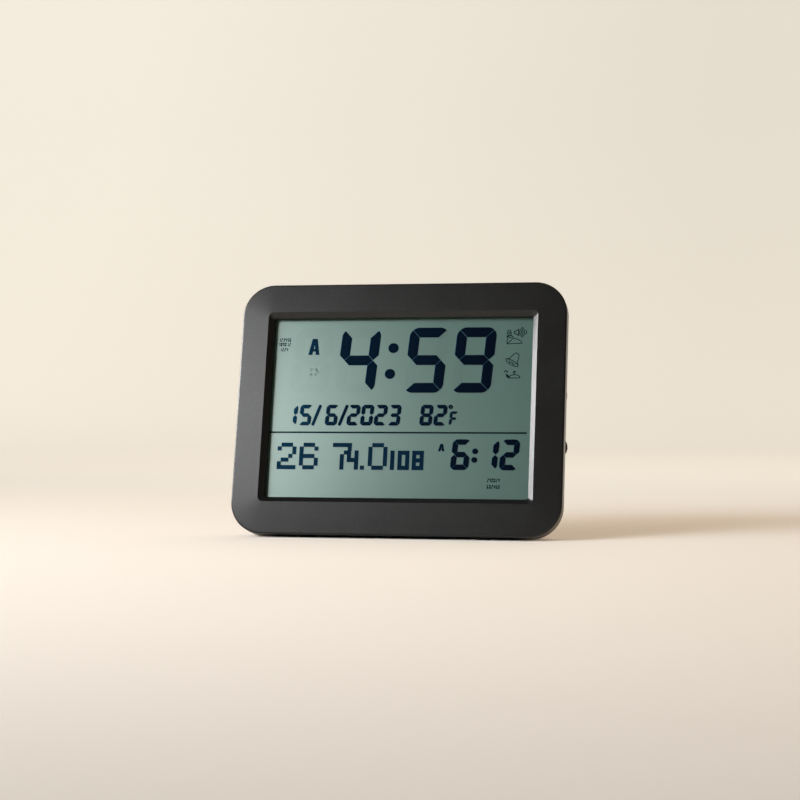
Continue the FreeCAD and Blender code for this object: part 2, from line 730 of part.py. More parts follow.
def key_switches():
    """One square push switch behind each key, each with a well for the key's stem."""
    bodies = []
    for x, z in [spot for _, spot in key_spots()] + [(RESET_X, RESET_Z)]:
        body = slab(6, 6, 0.6, KEY_BOARD_BACK, SWITCH_TOP_Y, x, z)
        bodies.append(body.cut(rod(x, z, STEM_R + 0.2, SWITCH_WELL_Y, SWITCH_TOP_Y + 1)))
    return Part.makeCompound(bodies)


def key_cap(x, z):
    """A rear key: a long rounded cap, its inner flange and its stem."""
    cap = slab(KEY_W, KEY_H, KEY_H / 2 - 0.01, KEY_FLANGE_Y1 - 0.2, KEY_TOP_Y, x, z)
    cap = cap.makeFillet(0.6, edges_at(cap, KEY_TOP_Y))
    flange = slab(KEY_W + 1.8, KEY_H + 1.8, 1.5, KEY_FLANGE_Y0, KEY_FLANGE_Y1, x, z)
    stem = rod(x, z, STEM_R, STEM_END_Y, KEY_FLANGE_Y0 + 0.2)
    return join([cap, flange, stem])


def reset_button():
    """The thin reset pin, sunk below the surface."""
    pin = rod(RESET_X, RESET_Z, 1.0, KEY_FLANGE_Y1 - 0.2, BACK_Y - 0.8)
    flange = rod(RESET_X, RESET_Z, 2.2, KEY_FLANGE_Y0, KEY_FLANGE_Y1)
    stem = rod(RESET_X, RESET_Z, STEM_R, STEM_END_Y, KEY_FLANGE_Y0 + 0.2)
    return join([pin, flange, stem])


# ---------------------------------------------------------------- volume and power

def volume_wheel():
    """The knurled thumbwheel."""
    wheel = rod(WHEEL_X, WHEEL_Z, WHEEL_R, WHEEL_Y0, WHEEL_Y1)
    wheel = wheel.makeFillet(0.4, edges_at(wheel, WHEEL_Y0) + edges_at(wheel, WHEEL_Y1))
    notches = []
    for i in range(WHEEL_NOTCHES):
        turn = 2 * math.pi * i / WHEEL_NOTCHES
        x = WHEEL_X + WHEEL_R * math.cos(turn)
        z = WHEEL_Z + WHEEL_R * math.sin(turn)
        notches.append(rod(x, z, 0.3, WHEEL_Y0 - 1, WHEEL_Y1 + 1))
    bore = rod(WHEEL_X, WHEEL_Z, ROTOR_R + RUN_GAP, WHEEL_Y0 - 1, WHEEL_Y1 - 0.6)
    screw_hole = rod(WHEEL_X, WHEEL_Z, 0.8, WHEEL_Y0, WHEEL_Y1 + 1)
    return wheel.cut(Part.makeCompound(notches + [bore, screw_hole]))


def volume_rotor():
    """The turning shaft of the volume control, fixed in the wheel."""
    shaft = rod(WHEEL_X, WHEEL_Z, ROTOR_R, ROTOR_END_Y, WHEEL_Y1 - 0.65)
    return shaft.cut(rod(WHEEL_X, WHEEL_Z, 0.65, WHEEL_Y0, WHEEL_Y1))


def wheel_screw():
    """The small screw that holds the wheel on its shaft."""
    return pan_screw(WHEEL_X, WHEEL_Z, WHEEL_Y1, WHEEL_Y0 + 0.4, 1.6, 0.6)


def volume_pot():
    """The volume control's body under the wheel."""
    y = MAIN_Y + BOARD
    body = slab(POT_W, POT_H, 1.0, y, WHEEL_Y0 - 0.25, WHEEL_X, WHEEL_Z)
    return body.cut(rod(WHEEL_X, WHEEL_Z, ROTOR_R + RUN_GAP, ROTOR_END_Y - 0.2, WHEEL_Y0))


def power_switch_body():
    """The slide switch's case on the key board."""
    z0 = KNOB_Z - KNOB_H / 2 - 1.9
    z1 = KNOB_Z + KNOB_H / 2 + KNOB_TRAVEL + 1.9
    body = box(98.0, 104.5, KEY_BOARD_BACK, 22.4, z0, z1)
    return body.cut(box(100.5, 105, KNOB_Y0 - 0.25, KNOB_Y1 + 0.25,
                        KNOB_Z - KNOB_H / 2 - 0.25, KNOB_Z + KNOB_H / 2 + KNOB_TRAVEL + 0.25))


def power_switch_knob():
    """The sliding nub, with two grooves for a fingernail."""
    z0 = KNOB_Z - KNOB_H / 2
    z1 = KNOB_Z + KNOB_H / 2
    knob = box(101.0, KNOB_TIP_X, KNOB_Y0, KNOB_Y1, z0, z1)
    grooves = [box(KNOB_TIP_X - 0.3, KNOB_TIP_X + 1, KNOB_Y0 - 1, KNOB_Y1 + 1, z - 0.2, z + 0.2)
               for z in (KNOB_Z - 0.7, KNOB_Z + 0.7)]
    return knob.cut(Part.makeCompound(grooves))


# ---------------------------------------------------------------- cells and door

def battery_door():
    """The sliding lid over the cells, with four hooks and grip ridges."""
    plate = slab(HUMP_W, HUMP_Z1 - HUMP_Z0, HUMP_R, HUMP_Y + 0.05, HUMP_Y + DOOR_THICK,
                 0, HUMP_MID_Z)
    plate = plate.makeFillet(0.7, edges_at(plate, HUMP_Y + DOOR_THICK))
    tabs = []
    for side in (-1, 1):
        for start in TAB_STARTS:
            web = sorted((side * (TAB_X - TAB_WEB / 2), side * (TAB_X + TAB_WEB / 2)))
            foot = sorted((side * (TAB_X - TAB_WEB / 2), side * (TAB_X + TAB_WEB / 2 + TAB_FOOT)))
            under = HUMP_Y - WALL - 0.2
            tabs.append(box(web[0], web[1], under - 1.0, HUMP_Y + 0.5, start, start + TAB_LENGTH))
            tabs.append(box(foot[0], foot[1], under - 1.0, under, start, start + TAB_LENGTH))
    ridges = [box(-11, 11, HUMP_Y + DOOR_THICK - 0.2, HUMP_Y + DOOR_THICK + 0.5, z - 0.5, z + 0.5)
              for z in (50.0, 52.4, 54.8, 57.2)]
    return join([plate] + tabs + ridges)


def cell_z(i):
    """The height of a cell's axis."""
    return BAY_Z + (1 - i) * CELL_PITCH


def cell_way(i):
    """+1 where the cell's nub points right, -1 where it points left."""
    return 1 if i % 2 == 0 else -1


def nub_tip_x():
    """How far from the middle the tip of a nub reaches."""
    return BAY_W / 2 - CONTACT_THICK - 0.8


def battery_cell(i):
    """An AA cell with its raised positive nub."""
    way = cell_way(i)
    tip = nub_tip_x()
    start = tip - CELL_NUB - CELL_LENGTH
    can = rod_x(CELL_Y, cell_z(i), CELL_R, start, tip - CELL_NUB)
    can = can.makeFillet(0.5, can.Edges)
    nub = rod_x(CELL_Y, cell_z(i), CELL_NUB_R, tip - CELL_NUB - 0.5, tip)
    cell = join([can, nub])
    if way < 0:
        cell.rotate(V(0, CELL_Y, cell_z(i)), Z_AXIS, 180)
    return cell


def spring(x_wall, z, way):
    """A coned coil spring from the wall to a cell's flat end, as a rising wire."""
    reach = x_spring_reach()
    turns = 3
    pieces = []
    steps = 12 * turns
    points = []
    for k in range(steps + 1):
        share = k / steps
        turn = 2 * math.pi * turns * share
        radius = 4.6 - 1.8 * share
        points.append(V(x_wall + way * reach * share, CELL_Y + radius * math.cos(turn),
                        z + radius * math.sin(turn)))
    for a, b in zip(points, points[1:]):
        pieces.append(Part.makeCylinder(0.35, b.sub(a).Length, a, b.sub(a)))
    for corner in points[1:-1]:
        pieces.append(Part.makeSphere(0.35, corner))
    return pieces


def x_spring_reach():
    """The gap between the end plate and a cell's flat end, less the wire."""
    flat_end = CELL_LENGTH + CELL_NUB - nub_tip_x()
    return BAY_W / 2 - CONTACT_THICK - flat_end - 0.45


def contact(side, indices):
    """A sprung steel end plate: a bump for each nub, a coil for each flat end."""
    inner = BAY_W / 2 - CONTACT_THICK
    zs = [cell_z(i) for i in indices]
    low, high = sorted((side * inner, side * (BAY_W / 2 - 0.02)))
    plate = box(low, high, BAY_FLOOR_Y + 1.0, HUMP_Y - 1.2, min(zs) - 5.4, max(zs) + 5.4)
    pieces = [plate]
    for i in indices:
        if cell_way(i) == side:
            x0, x1 = sorted((side * (inner - 0.75), side * (inner + 0.1)))
            pieces.append(rod_x(CELL_Y, cell_z(i), 2.2, x0, x1))
        else:
            pieces += spring(side * (inner - 0.1), cell_z(i), -side)
    return join(pieces)


# ---------------------------------------------------------------- speaker

def speaker_screw_spots():
    """Three screws round the speaker's rim."""
    spots = []
    for turn in (90, 210, 330):
        a = math.radians(turn)
        spots.append((SPEAKER_X + SPEAKER_SCREW_RADIUS * math.cos(a),
                      SPEAKER_Z + SPEAKER_SCREW_RADIUS * math.sin(a)))
    return spots


def turned(points):
    """A ring turned round the speaker's axis from (radius, depth) points."""
    outline = [V(SPEAKER_X + r, y, SPEAKER_Z) for r, y in points]
    face = Part.Face(Part.makePolygon(outline + [outline[0]]))
    return face.revolve(V(SPEAKER_X, 0, SPEAKER_Z), Y_AXIS, 360)


def speaker_frame():
    """The pressed steel basket."""
    return turned([
        (SPEAKER_R, SPEAKER_RIM_Y1), (SPEAKER_R, SPEAKER_RIM_Y0), (23.2, SPEAKER_RIM_Y0),
        (14.0, BASKET_Y), (9.0, BASKET_Y), (9.0, BASKET_Y + 0.8), (13.6, BASKET_Y + 0.8),
        (22.0, 22.2), (22.0, SPEAKER_RIM_Y1),
    ])


def speaker_magnet():
    """The magnet and its pole plate."""
    magnet = rod(SPEAKER_X, SPEAKER_Z, MAGNET_R, MAGNET_Y, BASKET_Y - 0.02)
    return magnet.makeFillet(0.4, edges_at(magnet, MAGNET_Y))


def speaker_cone():
    """The paper cone with its rolled edge and dust cap."""
    return turned([
        (21.8, 22.6), (21.8, 22.3), (19.5, 21.9), (17.5, 22.1), (7.0, 18.6), (3.5, 19.6),
        (0.0, 20.0), (0.0, 20.3), (3.8, 19.9), (6.8, 19.1), (17.2, 22.5), (19.5, 22.3),
    ])


def speaker_screws():
    """Three small screws whose heads clamp the rim."""
    return screws(speaker_screw_spots(), SPEAKER_RIM_Y0 - 0.02, PANEL_Y + 1.0, 3.0, SMALL_SHANK_R,
                  faces_back=False)


# ---------------------------------------------------------------- wiring

def wires(paths):
    """Thin insulated wires, one solid each."""
    return Part.makeCompound([tube([V(*p) for p in path], WIRE_R) for path in paths])


def speaker_wires():
    """A pair from the speaker to the main board."""
    return wires([
        [(-60 - k, 20.2, 8.2), (-60 - k, 20.2, -12 + k), (-66 - k, 18.6, -20), (-66 - k, 16.9, -20)]
        for k in (0, 2)
    ])


def battery_wires():
    """A pair from the cell bay to the main board."""
    return wires([
        [(-24 + k, 17.0, 8.6), (-24 + k, 20.6, 5.0), (-20 + k, 20.6, -15), (-20 + k, 16.9, -15)]
        for k in (0, 3)
    ])


def key_ribbon():
    """The flat cable between the two boards."""
    return box(52, 66, 16.9, 17.1, -10, -2).fuse(
        box(52, 66, 16.35, 16.55, -2.2, 6)
    ).fuse(box(52, 66, 16.35, 17.1, -2.2, -2.0))


# ---------------------------------------------------------------- assembly

def lean_back(shape):
    """Lean a piece back and stand it on the table."""
    shape.rotate(V(0, 0, 0), X_AXIS, -LEAN_DEG)
    shape.translate(V(-ORIGIN_X, -ORIGIN_Y, FACE_HEIGHT))
    return shape


def flat_sole(shape):
    """Trim a leaned piece at the table."""
    return shape.cut(box(-300, 300, -300, 300, -100, 0))


def pieces():
    """Every node with its shape in the upright frame."""
    nodes = {
        "front_bezel": front_bezel(),
        "rear_cover": rear_cover(),
        "case_screws": case_screws(),
        "stand_leg": stand_leg(),
        "stand_pin": stand_pin(),
        "stand_foot": stand_foot_block(),
        "foot_pad_left": foot_pad(-PAD_X),
        "foot_pad_right": foot_pad(PAD_X),
        "lcd_front_polariser": glass_plate(DISPLAY_Y, POLARISER, inset=1.5),
        "lcd_front_glass": glass_plate(FRONT_GLASS_Y, GLASS, drop=LEDGE),
        "lcd_rear_glass": glass_plate(REAR_GLASS_Y, GLASS),
        "lcd_rear_polariser": glass_plate(REAR_POLARISER_Y, POLARISER, inset=1.5),
        "light_guide": light_guide(),
        "light_guide_reflector": glass_plate(GUIDE_BACK_Y, SHEET, inset=0.5),
        "backlight_board": backlight_board(),
        "backlight_leds": backlight_leds(),
        "lcd_holder": lcd_holder(),
        "lcd_holder_screws": screws(HOLDER_SCREWS, HOLDER_BACK_Y, 5.0, 2.2, SMALL_SHANK_R),
        "zebra_strip": zebra_strip(),
        "main_board": main_board(),
        "main_board_screws": screws(MAIN_SCREWS, MAIN_Y + BOARD, HOLDER_PLATE_Y + 0.7, 2.0,
                                    SMALL_SHANK_R),
        "controller_chip": controller_chip(),
        "audio_chip": audio_chip(),
        "crystal": crystal(),
        "capacitors": capacitors(),
        "key_board": key_board(),
        "key_board_screws": screws(KEY_SCREWS, KEY_BOARD_Y, PANEL_Y - 0.5, 2.0, SMALL_SHANK_R,
                                   faces_back=False),
        "key_switches": key_switches(),
        "reset_button": reset_button(),
        "volume_wheel": volume_wheel(),
        "volume_rotor": volume_rotor(),
        "wheel_screw": wheel_screw(),
        "volume_pot": volume_pot(),
        "power_switch_body": power_switch_body(),
        "power_switch_knob": power_switch_knob(),
        "battery_door": battery_door(),
        "battery_contact_1": contact(1, (0,)),
        "battery_contact_2": contact(-1, (0, 1)),
        "battery_contact_3": contact(1, (1, 2)),
        "battery_contact_4": contact(-1, (2,)),
        "speaker_frame": speaker_frame(),
        "speaker_magnet": speaker_magnet(),
        "speaker_cone": speaker_cone(),
        "speaker_screws": speaker_screws(),
        "speaker_wires": speaker_wires(),
        "battery_wires": battery_wires(),
        "key_ribbon": key_ribbon(),
    }
    for name, (x, z) in key_spots():
        nodes[name + "_button"] = key_cap(x, z)
    for i in range(3):
        nodes["battery_cell_" + str(i + 1)] = battery_cell(i)
    return nodes


def main():
    os.makedirs("parts", exist_ok=True)
    for name, shape in pieces().items():
        placed = lean_back(shape)
        if name.startswith("foot_pad") or name == "stand_foot":
            placed = flat_sole(placed)
        placed.exportStep("parts/" + name + ".step")


main()
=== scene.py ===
"""Azan clock: finishes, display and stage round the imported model."""

import bpy
import json
import math
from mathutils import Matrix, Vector
from mathutils.geometry import normal


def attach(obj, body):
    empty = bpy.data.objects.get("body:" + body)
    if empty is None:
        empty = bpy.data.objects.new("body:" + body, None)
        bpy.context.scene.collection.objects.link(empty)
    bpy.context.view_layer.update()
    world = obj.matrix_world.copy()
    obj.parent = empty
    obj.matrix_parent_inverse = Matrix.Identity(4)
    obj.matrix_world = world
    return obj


bl_info = {
    "name": "Azan Clock",
    "version": (1, 0, 0),
    "blender": (4, 5, 0),
    "location": "3D View > Sidebar > Clock",
    "description": "Finishes an LCD prayer clock: case, display, keys and stage",
    "category": "Object",
}

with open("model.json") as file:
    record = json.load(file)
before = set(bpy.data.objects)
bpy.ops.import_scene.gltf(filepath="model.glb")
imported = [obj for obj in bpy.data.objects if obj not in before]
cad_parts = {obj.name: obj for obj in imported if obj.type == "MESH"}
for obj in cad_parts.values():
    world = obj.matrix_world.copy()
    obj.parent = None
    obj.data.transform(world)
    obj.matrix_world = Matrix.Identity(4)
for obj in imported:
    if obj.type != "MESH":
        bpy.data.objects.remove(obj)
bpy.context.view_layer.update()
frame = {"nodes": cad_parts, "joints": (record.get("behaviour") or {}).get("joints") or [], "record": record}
MM = 0.001
JOINTS = {joint["name"]: joint for joint in frame["joints"]}

# The clock's own axes and the middle of its front face, from the frame
RIGHT = Vector((1, 0, 0))
UP = Vector(JOINTS["door_slide"]["axis"]).normalized()
BACK = Vector(JOINTS["volume_turn"]["axis"]).normalized()
PIN_DEPTH = 28.5 * MM
PIN_MIDDLE = Vector(JOINTS["stand_hinge"]["pos_m"])
FACE_MIDDLE = PIN_MIDDLE - BACK * PIN_DEPTH

# The display: every size below is in millimetres on its surface, from the face's middle
FILM_DEPTH = 8.1
PRINT_X = 0.1                      # where the layout's middle lies
PRINT_Z = 0.28
DIGIT_LEAN = 0.08                  # shift to the right for each unit of height
CORNER_SHARE = 0.9                 # a digit's corner radius as a share of its stroke
SLIP_SHARE = 0.7                   # how far a segment's end is drawn in, as a share of the gap

# Layers on the film, as (height of the front, thickness), and how far two of them are shifted
INK_LAYER = (0.04, 0.015)
FRINGE_LAYER = (0.024, 0.006)
SHADE_LAYER = (0.012, 0.006)
# FRINGE_SHIFT moves a painted lit edge: lighter petrol-blue copies of the lit segments, shifted towards the
# side the light comes from
FRINGE_SHIFT = (-0.3, 0.05)
# SHADE_SHIFT moves a painted shadow: darkened film copies of the lit segments and cells, shifted right and
# down where their shadow falls on the reflector
SHADE_SHIFT = (0.5, -0.42)

# The rear, in millimetres: depths behind the face, and places as seen from the front
KEY_TOP = 26.2
COVER_BACK = 25.0
DOOR_BACK = 32.2
MARK_LIFT = 0.03
MARK_THICK = 0.02
KEY_COLUMNS = (58.0, 82.0)
KEY_ROWS = (56.0, 43.0, 30.0, 17.0)
WHEEL_HEIGHT = -23.0
SWITCH_HEIGHT = 12.8
RESET_PLACE = (70.0, 6.0)
DOOR_ARROW = (0.0, 40.0)

# The lit segments of each character: a to f run clockwise from the top, g is the middle one
SEGMENTS = {
    "0": "abcdef", "1": "bc", "2": "abged", "3": "abgcd", "4": "fgbc", "5": "afgcd",
    "6": "afgedc", "7": "abc", "8": "abcdefg", "9": "abfgcd", "F": "afge",
}

# Dot characters: rows from the top, one digit a column
DOTS = {
    "2": ("01110", "10001", "00001", "00010", "01100", "10000", "11111"),
    "6": ("01110", "10001", "10000", "11110", "10001", "10001", "01110"),
    "7": ("11111", "00001", "00010", "00100", "00100", "00100", "00100"),
    "0": ("01110", "10001", "10001", "10001", "10001", "10001", "01110"),
    ".": ("0", "0", "0", "0", "0", "0", "1"),
    "small 1": ("1", "1", "1", "1", "1"),
    "small 4": ("101", "101", "111", "001", "001"),
    "small 0": ("111", "101", "101", "101", "111"),
    "small 8": ("111", "101", "111", "101", "111"),
}


def at(x, z, lift):
    """A point of the printed layout in metres, lifted off the film by some millimetres."""
    place = RIGHT * (x + PRINT_X) + UP * (z + PRINT_Z) + BACK * (FILM_DEPTH - lift)
    return FACE_MIDDLE + place * MM


# ---------------------------------------------------------------- settings

class ClockSizes(bpy.types.PropertyGroup):
    digit_width: bpy.props.FloatProperty(
        name="Digit width", description="Width of the large time digits, in millimetres",
        default=27.1)
    digit_height: bpy.props.FloatProperty(
        name="Digit height", description="Height of the large time digits, in millimetres",
        default=45.8)
    digit_stroke: bpy.props.FloatProperty(
        name="Digit stroke", description="Stroke of the large time digits, in millimetres",
        default=6.9)
    segment_gap: bpy.props.FloatProperty(
        name="Segment gap", description="Gap between two segments, in millimetres", default=0.32)
    dot_pitch: bpy.props.FloatProperty(
        name="Dot pitch", description="Pitch of the dot characters, in millimetres", default=2.6)
    key_light: bpy.props.FloatProperty(
        name="Key light", description="Power of the gridded lamp in front on the left",
        default=4.5, unit="POWER")
    side_light: bpy.props.FloatProperty(
        name="Side light", description="Power of the lamp that glints beside the clock",
        default=4.7, unit="POWER")
    floor_light: bpy.props.FloatProperty(
        name="Floor light", description="Power of the lamp that casts the shadow",
        default=114.0, unit="POWER")
    high_light: bpy.props.FloatProperty(
        name="High light", description="Power of the lamp above the floor", default=12.0,
        unit="POWER")
    fill_light: bpy.props.FloatProperty(
        name="Fill light", description="Strength of the even light all round", default=0.12)


def colour_prop(name, description, default):
    """A linear colour setting."""
    return bpy.props.FloatVectorProperty(
        name=name, description=description, default=default, size=3, subtype="COLOR",
        min=0.0, max=1.0)


class ClockColours(bpy.types.PropertyGroup):
    case: colour_prop("Case", "Satin black of the bezel", (0.007, 0.0068, 0.007))
    cover: colour_prop("Cover", "Textured black of the back", (0.014, 0.0138, 0.014))
    keys: colour_prop("Keys", "Dark grey of the rear keys", (0.075, 0.077, 0.08))
    film: colour_prop("Film", "Pale teal of the display", (0.054, 0.114, 0.096))
    ink: colour_prop("Ink", "Near-black navy of the lit segments", (0.0022, 0.0048, 0.0112))
    # Painted light: this petrol blue is the lit look of the segments, used for their lighter left-hand side
    # and for their lighter copies shifted to the left
    fringe: colour_prop("Fringe", "Petrol blue of segments seen aslant", (0.0116, 0.0685, 0.133))
    drawings: colour_prop("Drawings", "Dark green-grey of the display's fine drawings",
                          (0.0065, 0.0135, 0.0155))
    marks: colour_prop("Marks", "Pale grey of the rear drawings", (0.42, 0.42, 0.41))
    floor: colour_prop("Floor", "Off-white of the floor", (0.80, 0.762, 0.71))
    near_glow: colour_prop("Near glow", "Warm light thrown back on the floor", (0.86, 0.65, 0.47))
    far_glow: colour_prop("Far glow", "Warm white of the far backdrop", (0.845, 0.762, 0.633))


# ---------------------------------------------------------------- shader helpers

def new_material(name):
    """An empty node material with its output and Principled shader."""
    material = bpy.data.materials.new(name)
    material.use_nodes = True
    tree = material.node_tree
    shader = tree.nodes["Principled BSDF"]
    return material, tree, shader


def add(tree, kind, **values):
    """A node with its inputs or settings filled in."""
    node = tree.nodes.new(kind)
    for key, value in values.items():
        if key in node.inputs:
            node.inputs[key].default_value = value
        else:
            setattr(node, key, value)
    return node


def feed(tree, socket, value):
    """Link an output to an input, or set the input to a plain value."""
    if isinstance(value, bpy.types.NodeSocket):
        tree.links.new(value, socket)
    else:
        socket.default_value = value


def fill(tree, node, values):
    """Feed a node's inputs by name."""
    for name, value in values.items():
        feed(tree, node.inputs[name], value)


def object_coords(tree):
    """The Object coordinates output of a fresh Texture Coordinate node."""
    return add(tree, "ShaderNodeTexCoord").outputs["Object"]


def axes(tree):
    """The Object coordinates as X, Y and Z outputs."""
    split = add(tree, "ShaderNodeSeparateXYZ")
    tree.links.new(object_coords(tree), split.inputs["Vector"])
    return split.outputs


def reckon(tree, operation, *values):
    """The result of a Math node; each value is an output or a number."""
    node = add(tree, "ShaderNodeMath", operation=operation)
    for socket, value in zip(node.inputs, values):
        feed(tree, socket, value)
    return node.outputs[0]


def mapped(tree, value, before, after=(0.0, 1.0), smooth=False):
    """A value carried from one range to another."""
    kind = "SMOOTHSTEP" if smooth else "LINEAR"
    node = add(tree, "ShaderNodeMapRange", interpolation_type=kind)
    fill(tree, node, {"Value": value, "From Min": before[0], "From Max": before[1],
                      "To Min": after[0], "To Max": after[1]})
    return node.outputs["Result"]


def noise(tree, vector, scale, detail, roughness=0.5):
    """The value of a noise texture."""
    node = add(tree, "ShaderNodeTexNoise", Detail=detail, Roughness=roughness)
    fill(tree, node, {"Vector": vector, "Scale": scale})
    return node.outputs["Fac"]


def stop_ramp(tree, source, stops, interpolation="LINEAR"):
    """A colour ramp with its stops as (place, colour) from low to high."""
    node = add(tree, "ShaderNodeValToRGB")
    node.color_ramp.interpolation = interpolation
    elements = node.color_ramp.elements
    while len(elements) < len(stops):
        elements.new(0.5)
    for element, (place, colour) in zip(elements, stops):
        element.position = place
        element.color = (*colour, 1)
    tree.links.new(source, node.inputs["Fac"])
    return node.outputs["Color"]


def ramp(tree, source, low, high, dark, light):
    """A two-stop colour ramp over a value."""
    return stop_ramp(tree, source, ((low, dark), (high, light)))


def relief(tree, shader, height, strength, distance):
    """Raise a height on a shader's surface; distance is in metres."""
    bump = add(tree, "ShaderNodeBump", Strength=strength, Distance=distance)
    tree.links.new(height, bump.inputs["Height"])
    tree.links.new(bump.outputs["Normal"], shader.inputs["Normal"])


def shaded(colour, factor):
    """A colour made lighter or darker."""
    return tuple(min(1.0, part * factor) for part in colour)


def blended(first, second, share):
    """A colour with some share of a second one in it."""
    return [(1 - share) * a + share * b for a, b in zip(first, second)]


def group_sockets(group, sockets):
    """Named inputs and outputs of a shader node group."""
    for name, way, kind, default in sockets:
        socket = group.interface.new_socket(name=name, in_out=way, socket_type=kind)
        if default is not None:
            socket.default_value = default


# ---------------------------------------------------------------- finishes

SLOW_TONE = 26.0                   # noise scales, per metre
SMUDGE = 90.0
MIX_FROM, MIX_TO = 2, 3            # the number inputs of a Mix node, by place
# Painted light: between these places the ink is drawn lighter and bluer on the left and darker towards the
# right
INK_PAINTED_LIGHT_SPAN = (-0.086, 0.064)        # metres, between which the ink darkens
CELL_BAND = (0.0135, 0.0137)       # metres, the edge of the band on a cell's jacket


def grain_group():
    """Moulded grain: fine height, a slow tone mask and a roughness value."""
    name = "Moulded grain"
    if name in bpy.data.node_groups:
        return bpy.data.node_groups[name]
    group = bpy.data.node_groups.new(name, "ShaderNodeTree")
    group_sockets(group, [
        ("Vector", "INPUT", "NodeSocketVector", None),
        ("Grain per metre", "INPUT", "NodeSocketFloat", 4000.0),
        ("Rough low", "INPUT", "NodeSocketFloat", 0.4),
        ("Rough high", "INPUT", "NodeSocketFloat", 0.5),
        ("Height", "OUTPUT", "NodeSocketFloat", None),
        ("Tone", "OUTPUT", "NodeSocketFloat", None),
        ("Roughness", "OUTPUT", "NodeSocketFloat", None),
    ])
    source = group.nodes.new("NodeGroupInput").outputs
    sink = group.nodes.new("NodeGroupOutput")
    smudge = noise(group, source["Vector"], SMUDGE, 3.0)
    fill(group, sink, {
        "Height": noise(group, source["Vector"], source["Grain per metre"], 3.0, 0.6),
        "Tone": noise(group, source["Vector"], SLOW_TONE, 2.0),
        "Roughness": mapped(group, smudge, (0.1, 0.9),
                            (source["Rough low"], source["Rough high"])),
    })
    return group


def grained(name, colour, grain, low, high, bump, spread=0.18, specular=0.5, fleck=0.0):
    """A moulded surface with grain, slow tone changes and handling marks."""
    material, tree, shader = new_material(name)
    group = add(tree, "ShaderNodeGroup", node_tree=grain_group())
    fill(tree, group, {"Vector": object_coords(tree), "Grain per metre": grain,
                       "Rough low": low, "Rough high": high})
    mottle = add(tree, "ShaderNodeMix", data_type="FLOAT", Factor=fleck)
    tree.links.new(group.outputs["Tone"], mottle.inputs[MIX_FROM])
    tree.links.new(group.outputs["Height"], mottle.inputs[MIX_TO])
    fill(tree, shader, {
        "Base Color": ramp(tree, mottle.outputs[0], 0.35, 0.68,
                           shaded(colour, 1 - spread), shaded(colour, 1 + spread)),
        "Roughness": group.outputs["Roughness"],
        "Specular IOR Level": specular,
    })
    relief(tree, shader, group.outputs["Height"], bump, 0.00006)
    return material


def metal(name, colour, low, high, stretch):
    """Plated or drawn metal with fine lines along one way."""
    material, tree, shader = new_material(name)
    place = add(tree, "ShaderNodeMapping", Scale=stretch)
    tree.links.new(object_coords(tree), place.inputs["Vector"])
    lines = noise(tree, place.outputs["Vector"], 900.0, 4.0, 0.6)
    fill(tree, shader, {
        "Base Color": ramp(tree, lines, 0.3, 0.7, shaded(colour, 0.82), colour),
        "Roughness": mapped(tree, lines, (0.0, 1.0), (low, high)),
        "Metallic": 1.0,
    })
    relief(tree, shader, lines, 0.15, 0.00003)
    return material


def film_material(name, colour):
    """The display's anti-glare film: even teal with a faint mottling."""
    material, tree, shader = new_material(name)
    coords = object_coords(tree)
    cloud = noise(tree, coords, 38.0, 3.0)
    speck = noise(tree, coords, 1500.0, 2.0)
    mottle = reckon(tree, "MULTIPLY_ADD", speck, 0.25, cloud)
    fill(tree, shader, {
        "Base Color": ramp(tree, mottle, 0.4, 0.85, shaded(colour, 0.95), shaded(colour, 1.05)),
        "Roughness": 0.28,
        "IOR": 1.64,
        "Specular IOR Level": 1.0,
        "Specular Tint": (0.84, 1.0, 0.93, 1),
    })
    relief(tree, shader, speck, 0.02, 0.00002)
    return material


def ink_material(name, colour, painted_light_colour):
    """Liquid crystal segments: near black, with painted light making them lighter and petrol blue towards
    the left-hand side, the way they look there under this light.
    """
    material, tree, shader = new_material(name)
    cloud = noise(tree, object_coords(tree), 260.0, 3.0)
    across = mapped(tree, axes(tree)["X"], INK_PAINTED_LIGHT_SPAN)
    waver = reckon(tree, "MULTIPLY_ADD", cloud, 0.05, across)
    stops = ((0.02, painted_light_colour), (0.17, blended(colour, painted_light_colour, 0.45)),
             (0.31, blended(colour, painted_light_colour, 0.12)), (1.0, colour))
    fill(tree, shader, {"Base Color": stop_ramp(tree, waver, stops), "Roughness": 0.6,
                        "Specular IOR Level": 0.0})
    return material


def glass_material():
    """The edge of the display's glass plates."""
    material, tree, shader = new_material("display_glass")
    cloud = noise(tree, object_coords(tree), 60.0, 2.0)
    colours = ramp(tree, cloud, 0.3, 0.7, (0.55, 0.68, 0.64), (0.62, 0.74, 0.7))
    fill(tree, shader, {"Base Color": colours, "Roughness": 0.08})
    return material


def board_material():
    """Green solder mask with a faint track pattern."""
    material, tree, shader = new_material("board_mask")
    tracks = add(tree, "ShaderNodeTexBrick", Scale=120.0)
    fill(tree, tracks, {
        "Vector": object_coords(tree),
        "Mortar Size": 0.06,
        "Color1": (0.012, 0.11, 0.045, 1),
        "Color2": (0.014, 0.125, 0.05, 1),
        "Mortar": (0.03, 0.2, 0.09, 1),
    })
    fill(tree, shader, {"Base Color": tracks.outputs["Color"], "Roughness": 0.32})
    relief(tree, shader, tracks.outputs["Fac"], 0.3, 0.00004)
    return material


def cell_material():
    """A plain printed jacket: dark with a copper-coloured band at each end."""
    material, tree, shader = new_material("cell_jacket")
    band = mapped(tree, reckon(tree, "ABSOLUTE", axes(tree)["X"]), CELL_BAND)
    fine = noise(tree, object_coords(tree), 500.0, 3.0)
    fill(tree, shader, {
        "Base Color": ramp(tree, band, 0.4, 0.6, (0.03, 0.032, 0.036), (0.55, 0.24, 0.09)),
        "Roughness": mapped(tree, fine, (0.0, 1.0), (0.22, 0.36)),
        "Metallic": 0.6,
    })
    return material


# ---------------------------------------------------------------- mesh helpers

